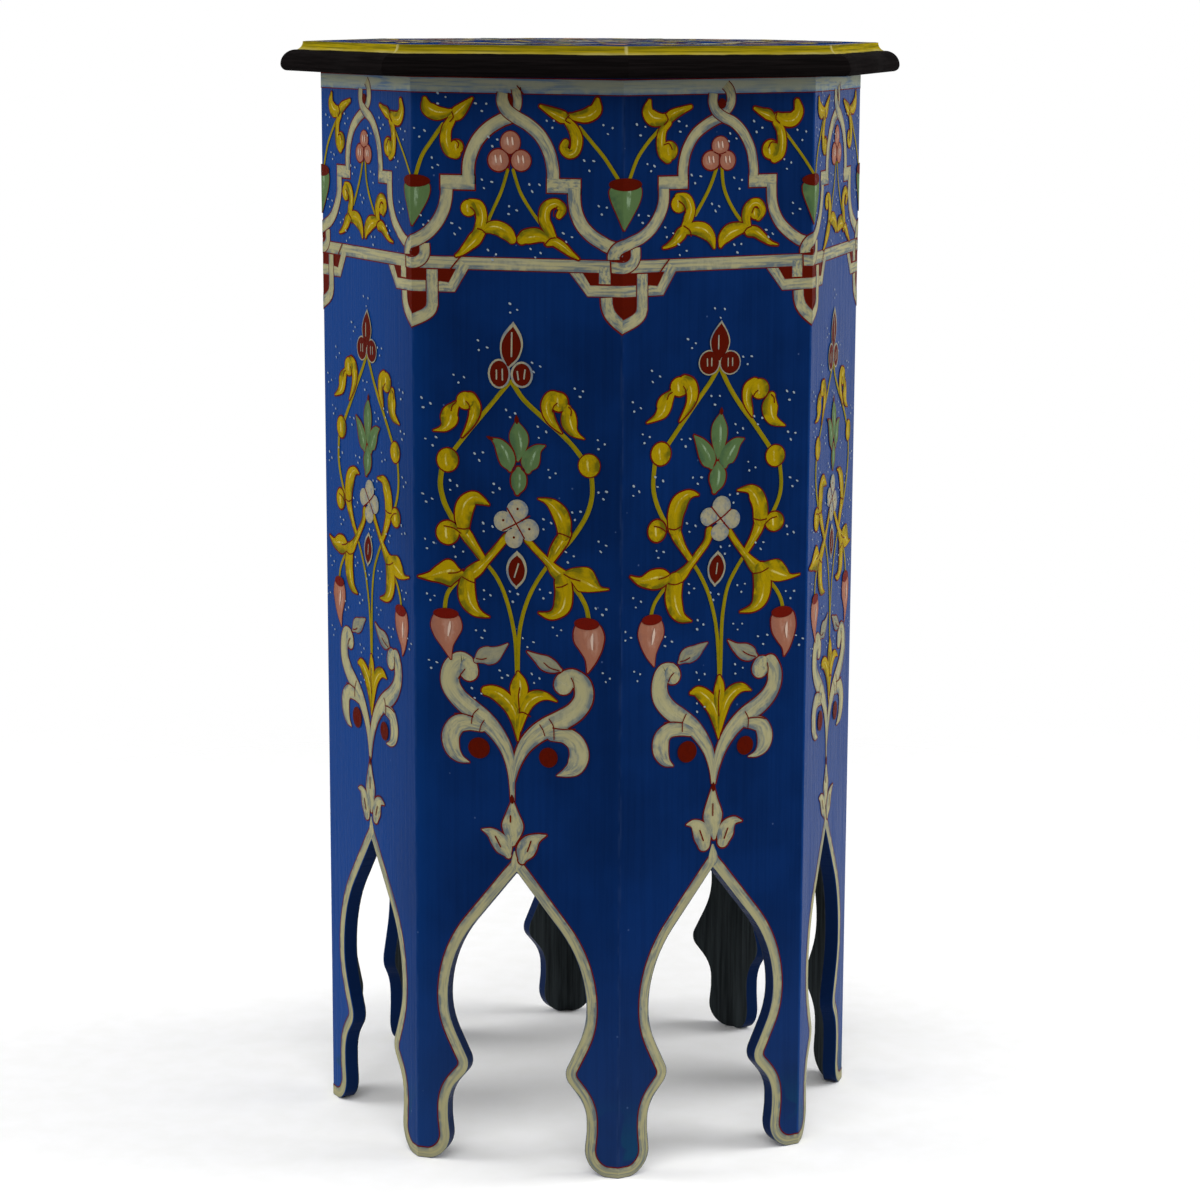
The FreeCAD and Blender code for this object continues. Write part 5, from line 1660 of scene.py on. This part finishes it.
class TablePaints(bpy.types.PropertyGroup):
    """Colours of the paints and of what is left bare."""

    blue: colour("Blue", "Ground of the sides", 4, 28, 69)
    blue_light: colour("Light blue", "Brush marks on the sides, and ground of the top", 8, 40, 92)
    # Faded blue is a painted sheen on the sides to the left and to the right, and the brush marks on the
    # top.
    blue_sheen_and_marks: colour("Faded blue", "Sides that the sun reaches, and brush marks on the top", 6, 56, 122)
    # Worn blue also paints a reflection of the floor, lighter towards the bottom of the sides.
    blue_wear_and_sheen: colour("Worn blue", "Rubbed corners and feet", 92, 116, 158)
    blue_scuffed: colour("Scuffed blue", "Patches on the feet", 16, 56, 84)
    blue_edge: colour("Edge blue", "Sawn edges of the arches", 10, 30, 66)
    stain: colour("Stain", "Inside of the sides, and grime on bare wood", 33, 37, 39)
    stain_light: colour("Light stain", "Grain on the inside of the sides", 54, 60, 62)
    black: colour("Black", "Moulding round the top", 10, 8, 8)
    black_worn: colour("Worn black", "Brush marks on the moulding", 19, 16, 16)
    rim_yellow: colour("Rim yellow", "Hollow along the top of the moulding", 152, 134, 14)
    # Cream is also the painted highlight along the lower border of the yellow hollow.
    cream: colour("Cream", "Thin yellow at joints and edges", 184, 174, 112)
    wood: colour("Wood", "Cleats, blocks and underside", 168, 128, 82)
    wood_dark: colour("Dark wood", "Grain of the bare wood", 118, 82, 48)
    steel: colour("Steel", "Brads, nails and screws", 120, 120, 122)
    rust: colour("Rust", "Spots on the steel", 84, 48, 26)
    ivory: colour("Ivory", "Bands, borders and scrolls", 150, 145, 108)
    ivory_shade: shade_of("Ivory", 88, 98, 102)
    ivory_glint: glint_of("Ivory", 166, 161, 126)
    pale: colour("Pale", "Band under the rim", 140, 148, 132)
    pale_shade: shade_of("Pale", 84, 110, 140)
    pale_glint: glint_of("Pale", 160, 158, 138)
    grey: colour("Grey", "Faint leaves", 124, 121, 97)
    grey_shade: shade_of("Grey", 82, 92, 98)
    grey_glint: glint_of("Grey", 142, 138, 114)
    yellow: colour("Yellow", "Leaves and balls", 149, 126, 5)
    yellow_shade: shade_of("Yellow", 92, 86, 14)
    yellow_glint: glint_of("Yellow", 198, 188, 116)
    olive: colour("Olive", "Stems", 126, 112, 8)
    olive_shade: shade_of("Olive", 86, 86, 14)
    olive_glint: glint_of("Olive", 148, 130, 20)
    red: colour("Red", "Outlines, lines and the lids of pods", 94, 18, 9)
    red_shade: shade_of("Red", 70, 16, 14)
    dark_red: colour("Dark red", "Seeds, caps and grounds", 77, 15, 4)
    dark_red_shade: shade_of("Dark red", 63, 13, 8)
    pink: colour("Pink", "Berries and pods", 141, 92, 72)
    pink_shade: shade_of("Pink", 120, 80, 70)
    pink_glint: glint_of("Pink", 176, 146, 130)
    green: colour("Green", "Buds", 77, 100, 61)
    green_shade: shade_of("Green", 60, 84, 56)
    green_glint: glint_of("Green", 130, 152, 122)
    white: colour("White", "Petals, rings and dashes", 141, 135, 108)
    white_shade: shade_of("White", 94, 105, 118)
    white_glint: glint_of("White", 166, 160, 138)
    blush: colour("Blush", "Dabs on berries and pods", 190, 166, 150)
    blush_shade: shade_of("Blush", 164, 130, 116)
    dot: colour("Dot", "Scattered dots", 148, 156, 158)
    dot_shade: shade_of("Dot", 108, 126, 146)


class TableBrush(bpy.types.PropertyGroup):
    """Sizes of the brush work."""

    first_coat: length("First coat", "Lift of the lowest mark above the ground", 0.05)
    coat_step: length("Coat", "Lift of each layer of marks above the one before", 0.02)
    outline: length("Outline", "Width of the red line round a mark", 0.75)
    border: length("Border", "Width of the band round an arch", 5.5)
    dab: length("Dab", "Half width of a dot", 0.66)
    unevenness: length("Unevenness", "How far the hand strays from side to side", 0.35)


class TableStage(bpy.types.PropertyGroup):
    """Camera, lamps and floor."""

    turn: swing("Turn", "Way round the table to the camera", 16.55)
    away: length("Away", "Distance from the axis to the camera over the floor", 1788.8)
    height: length("Height", "Height of the camera", 634.2)
    pan: swing("Pan", "Camera turned to its right of the axis", 0.16)
    dip: swing("Dip", "Camera tipped below level", 10.79)
    roll: swing("Roll", "Camera rolled to its left", 0.23)
    lens: bpy.props.FloatProperty(name="Lens", description="Focal length in millimetres", default=94.82)
    ambient: bpy.props.FloatProperty(name="Ambient", description="Soft light from all around", default=0.4)
    front_lamp: lamp_power("Front lamp", "Power of the lamp high in front", 19.0)
    left_lamp: lamp_power("Left lamp", "Power of the lamp on the left", 27.0)
    right_lamp: lamp_power("Right lamp", "Power of the lamp behind on the right", 33.0)
    floor_radius: length("Floor", "Radius of the floor", 1100.0)


# Operators


class TABLE_OT_sides(bpy.types.Operator):
    """Blue paint on the eight sides"""

    bl_idname = "table.sides"
    bl_label = "Sides"

    def execute(self, context):
        finish_nodes("side_panel", side_finish(context.scene.table_paints))
        return {"FINISHED"}


class TABLE_OT_rim(bpy.types.Operator):
    """Black and yellow paint on the moulding"""

    bl_idname = "table.rim"
    bl_label = "Rim"

    def execute(self, context):
        finish_nodes("rim_strip", rim_finish(context.scene.table_paints))
        return {"FINISHED"}


class TABLE_OT_top(bpy.types.Operator):
    """Blue paint on the top board"""

    bl_idname = "table.top"
    bl_label = "Top board"

    def execute(self, context):
        finish_nodes("top_board", top_finish(context.scene.table_paints))
        return {"FINISHED"}


class TABLE_OT_inner_wood(bpy.types.Operator):
    """Bare wood for the cleats and corner blocks"""

    bl_idname = "table.inner_wood"
    bl_label = "Inner wood"

    def execute(self, context):
        finish = wood_finish(context.scene.table_paints)
        finish_nodes("top_cleat", finish)
        finish_nodes("corner_block", finish)
        return {"FINISHED"}


class TABLE_OT_fasteners(bpy.types.Operator):
    """Steel for the brads, nails and screws"""

    bl_idname = "table.fasteners"
    bl_label = "Fasteners"

    def execute(self, context):
        finish = steel_finish(context.scene.table_paints)
        for kind in ("rim_brads", "cleat_nails", "top_screws"):
            finish_nodes(kind, finish)
        return {"FINISHED"}


class TABLE_OT_strapwork(bpy.types.Operator):
    """Pale and ivory bands, arch borders and scrolls"""

    bl_idname = "table.strapwork"
    bl_label = "Strapwork"

    def execute(self, context):
        paint_sides(context, "pale_top_band", "pale")
        paint_sides(context, "ivory_strapwork", "ivory")
        return {"FINISHED"}


class TABLE_OT_foliage(bpy.types.Operator):
    """Stems, leaves and buds"""

    bl_idname = "table.foliage"
    bl_label = "Foliage"

    def execute(self, context):
        paint_sides(context, "olive_stems", "olive")
        paint_sides(context, "yellow_leaves", "yellow")
        paint_sides(context, "green_buds", "green")
        paint_sides(context, "grey_leaves", "grey")
        return {"FINISHED"}


class TABLE_OT_blossoms(bpy.types.Operator):
    """Berries, pods, petals and seeds"""

    bl_idname = "table.blossoms"
    bl_label = "Blossoms"

    def execute(self, context):
        paint_sides(context, "pink_berries_and_pods", "pink")
        paint_sides(context, "white_petals", "white")
        paint_sides(context, "dark_red_seeds", "dark_red")
        paint_sides(context, "blush_dabs", "blush")
        return {"FINISHED"}


class TABLE_OT_outlines(bpy.types.Operator):
    """Red lines round the marks and across them"""

    bl_idname = "table.outlines"
    bl_label = "Outlines"

    def execute(self, context):
        paint_sides(context, "red_outlines", "red")
        return {"FINISHED"}


class TABLE_OT_dots(bpy.types.Operator):
    """Small dots scattered in threes on the blue ground"""

    bl_idname = "table.dots"
    bl_label = "Dots"

    def execute(self, context):
        brush = context.scene.table_brush
        finish = stroke_paint("dot", context.scene.table_paints)
        upright = math.pi / 2
        first = dab_motif("dots_odd", ODD_SIDE, on_side, upright, context, seed=3)
        second = dab_motif("dots_even", EVEN_SIDE, on_side, upright, context, seed=5)
        carry_round("side_dots", first, second, SIDES // 2, brush.unevenness, finish)
        first = dab_motif("dots_star", TOP_STAR, on_top, 0.0, context, seed=7)
        second = dab_motif("dots_corner", TOP_CORNER, on_top, 0.0, context, seed=9)
        carry_round("top_dots", first, second, SIDES, 0.0, finish)
        return {"FINISHED"}


class TABLE_OT_top_star(bpy.types.Operator):
    """Star, leaves and rosette on the top"""

    bl_idname = "table.top_star"
    bl_label = "Top star"

    def execute(self, context):
        for paint in ("ivory", "olive", "yellow", "green", "pink", "white", "dark_red", "red"):
            paint_top(context, "top_" + paint, paint)
        return {"FINISHED"}


# Lamps: the name, the place and the width of each, in metres.
LAMPS = (
    ("front_lamp", (0.2, -1.5, 1.9), 1.8),
    ("left_lamp", (-1.9, -0.5, 1.1), 1.4),
    ("right_lamp", (1.8, 0.6, 1.1), 1.4),
)

# The floor: how far it lies under the feet, its corners, its two tones and their patches,
# and the shares of its radius between which it fades out.
FLOOR_DROP = 0.2 * MM
FLOOR_CORNERS = 96
FLOOR_TONES = (srgb(250, 250, 249), srgb(253, 253, 253))
FLOOR_GRAIN = (60.0, 0.3, 0.7)
FLOOR_FADE = (0.5, 0.98)
FLOOR_ROUGHNESS = 0.9

# The soft light: the heights on a dome of radius 1 between which it grows, and its shares
# of the set strength below and above them.
DOME_HEIGHTS = (-0.4, 0.8)
DOME_SHARES = (0.6, 1.3)


class TABLE_OT_stage(bpy.types.Operator):
    """Pale floor, soft lamps, white background and camera"""

    bl_idname = "table.stage"
    bl_label = "Stage"

    def floor_finish(self, radius):
        """Pale floor that fades into the background at its edge."""
        material, tree, shader, point = new_finish("pale_floor")
        away = add(tree, "ShaderNodeVectorMath", {0: point}, operation="LENGTH").outputs["Value"]
        grain = patches(tree, point, *FLOOR_GRAIN, detail=3.0)
        near, far = FLOOR_FADE
        plug(tree, shader.inputs["Base Color"], blend(tree, grain, *FLOOR_TONES))
        plug(tree, shader.inputs["Alpha"], fall(tree, away, radius * near, radius * far))
        shader.inputs["Roughness"].default_value = FLOOR_ROUGHNESS
        shader.inputs["Specular IOR Level"].default_value = FLOOR_SHINE
        return material

    def lay_floor(self, stage):
        """A round floor just under the feet."""
        mesh = bmesh.new()
        bmesh.ops.create_circle(mesh, cap_ends=True, segments=FLOOR_CORNERS, radius=stage.floor_radius)
        floor = motif_object("floor", mesh)
        floor.data.transform(Matrix.Translation((0, 0, -FLOOR_DROP)))
        floor.data.materials.append(self.floor_finish(stage.floor_radius))

    def hang_lamp(self, name, spot, aim, size, power):
        """A round soft lamp that points at its aim."""
        data = bpy.data.lights.new(name, "AREA")
        data.shape = "DISK"
        data.size = size
        data.energy = power
        lamp = bpy.data.objects.new(name, data)
        lamp.location = spot
        lamp.rotation_euler = (Vector(aim) - Vector(spot)).to_track_quat("-Z", "Y").to_euler()
        bpy.context.scene.collection.objects.link(lamp)

    def light_room(self, stage):
        """White to the camera and in gloss, and soft ambient light on the rest."""
        world = bpy.data.worlds.new("studio")
        world.use_nodes = True
        world.cycles.sampling_method = "NONE"
        tree = world.node_tree
        tree.nodes.clear()
        path = tree.nodes.new("ShaderNodeLightPath")
        around = tree.nodes.new("ShaderNodeTexCoord").outputs["Generated"]
        way = add(tree, "ShaderNodeSeparateXYZ", {0: around})
        below, above = [share * stage.ambient for share in DOME_SHARES]
        dome = ease(tree, way.outputs[2], *DOME_HEIGHTS, below, above)
        seen = calc(tree, "MAXIMUM", path.outputs["Is Camera Ray"], path.outputs["Is Transmission Ray"])
        seen = calc(tree, "MAXIMUM", seen, path.outputs["Is Glossy Ray"])
        strength = add(tree, "ShaderNodeMix", {0: seen, 2: dome, 3: 1.0})
        white = {"Color": (1.0, 1.0, 1.0), "Strength": strength.outputs[0]}
        back = add(tree, "ShaderNodeBackground", white)
        output = tree.nodes.new("ShaderNodeOutputWorld")
        tree.links.new(back.outputs[0], output.inputs[0])
        bpy.context.scene.world = world

    def set_camera(self, stage):
        """The camera where the settings put it, tipped and rolled."""
        spot = Vector((stage.away * math.sin(stage.turn), -stage.away * math.cos(stage.turn), stage.height))
        ahead = Vector((-math.sin(stage.turn - stage.pan), math.cos(stage.turn - stage.pan), 0.0))
        right = Vector((ahead.y, -ahead.x, 0.0))
        up = Vector((0.0, 0.0, 1.0))
        forward = ahead * math.cos(stage.dip) - up * math.sin(stage.dip)
        over = ahead * math.sin(stage.dip) + up * math.cos(stage.dip)
        across = right * math.cos(stage.roll) + over * math.sin(stage.roll)
        over = over * math.cos(stage.roll) - right * math.sin(stage.roll)
        data = bpy.data.cameras.new("camera")
        data.lens = stage.lens
        data.sensor_fit = "HORIZONTAL"
        camera = bpy.data.objects.new("camera", data)
        bpy.context.scene.collection.objects.link(camera)
        turned = Matrix((across, over, -forward)).transposed().to_4x4()
        camera.matrix_world = Matrix.Translation(spot) @ turned
        bpy.context.scene.camera = camera

    def execute(self, context):
        stage = context.scene.table_stage
        self.lay_floor(stage)
        middle = (0.0, 0.0, TOP / 2)
        for name, spot, size in LAMPS:
            self.hang_lamp(name, spot, middle, size, getattr(stage, name))
        self.light_room(stage)
        self.set_camera(stage)
        context.scene.view_settings.view_transform = "Standard"
        return {"FINISHED"}


SETTINGS = {"table_paints": TablePaints, "table_brush": TableBrush, "table_stage": TableStage}
OPERATORS = (
    TABLE_OT_sides,
    TABLE_OT_rim,
    TABLE_OT_top,
    TABLE_OT_inner_wood,
    TABLE_OT_fasteners,
    TABLE_OT_strapwork,
    TABLE_OT_foliage,
    TABLE_OT_blossoms,
    TABLE_OT_outlines,
    TABLE_OT_dots,
    TABLE_OT_top_star,
    TABLE_OT_stage,
)


class TABLE_PT_looks(bpy.types.Panel):
    """Paints, brush sizes and steps of the table"""

    bl_idname = "TABLE_PT_looks"
    bl_label = "Painted table"
    bl_space_type = "VIEW_3D"
    bl_region_type = "UI"
    bl_category = "Table"

    def draw(self, context):
        for setting in SETTINGS:
            group = getattr(context.scene, setting)
            box = self.layout.box()
            for name in group.bl_rna.properties.keys():
                if name not in ("rna_type", "name"):
                    box.prop(group, name)
        for operator in OPERATORS:
            self.layout.operator(operator.bl_idname)


CLASSES = (*SETTINGS.values(), *OPERATORS, TABLE_PT_looks)


def register():
    """Adds the settings, the steps and the panel."""
    for item in CLASSES:
        bpy.utils.register_class(item)
    for setting, group in SETTINGS.items():
        setattr(bpy.types.Scene, setting, bpy.props.PointerProperty(type=group))


def unregister():
    """Takes the settings, the steps and the panel away again."""
    for setting in SETTINGS:
        delattr(bpy.types.Scene, setting)
    for item in reversed(CLASSES):
        bpy.utils.unregister_class(item)


def main():
    """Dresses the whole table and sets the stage."""
    register()
    bpy.ops.table.sides()
    bpy.ops.table.rim()
    bpy.ops.table.top()
    bpy.ops.table.inner_wood()
    bpy.ops.table.fasteners()
    bpy.ops.table.strapwork()
    bpy.ops.table.foliage()
    bpy.ops.table.blossoms()
    bpy.ops.table.outlines()
    bpy.ops.table.dots()
    bpy.ops.table.top_star()
    bpy.ops.table.stage()


if __name__ == "__main__":
    main()
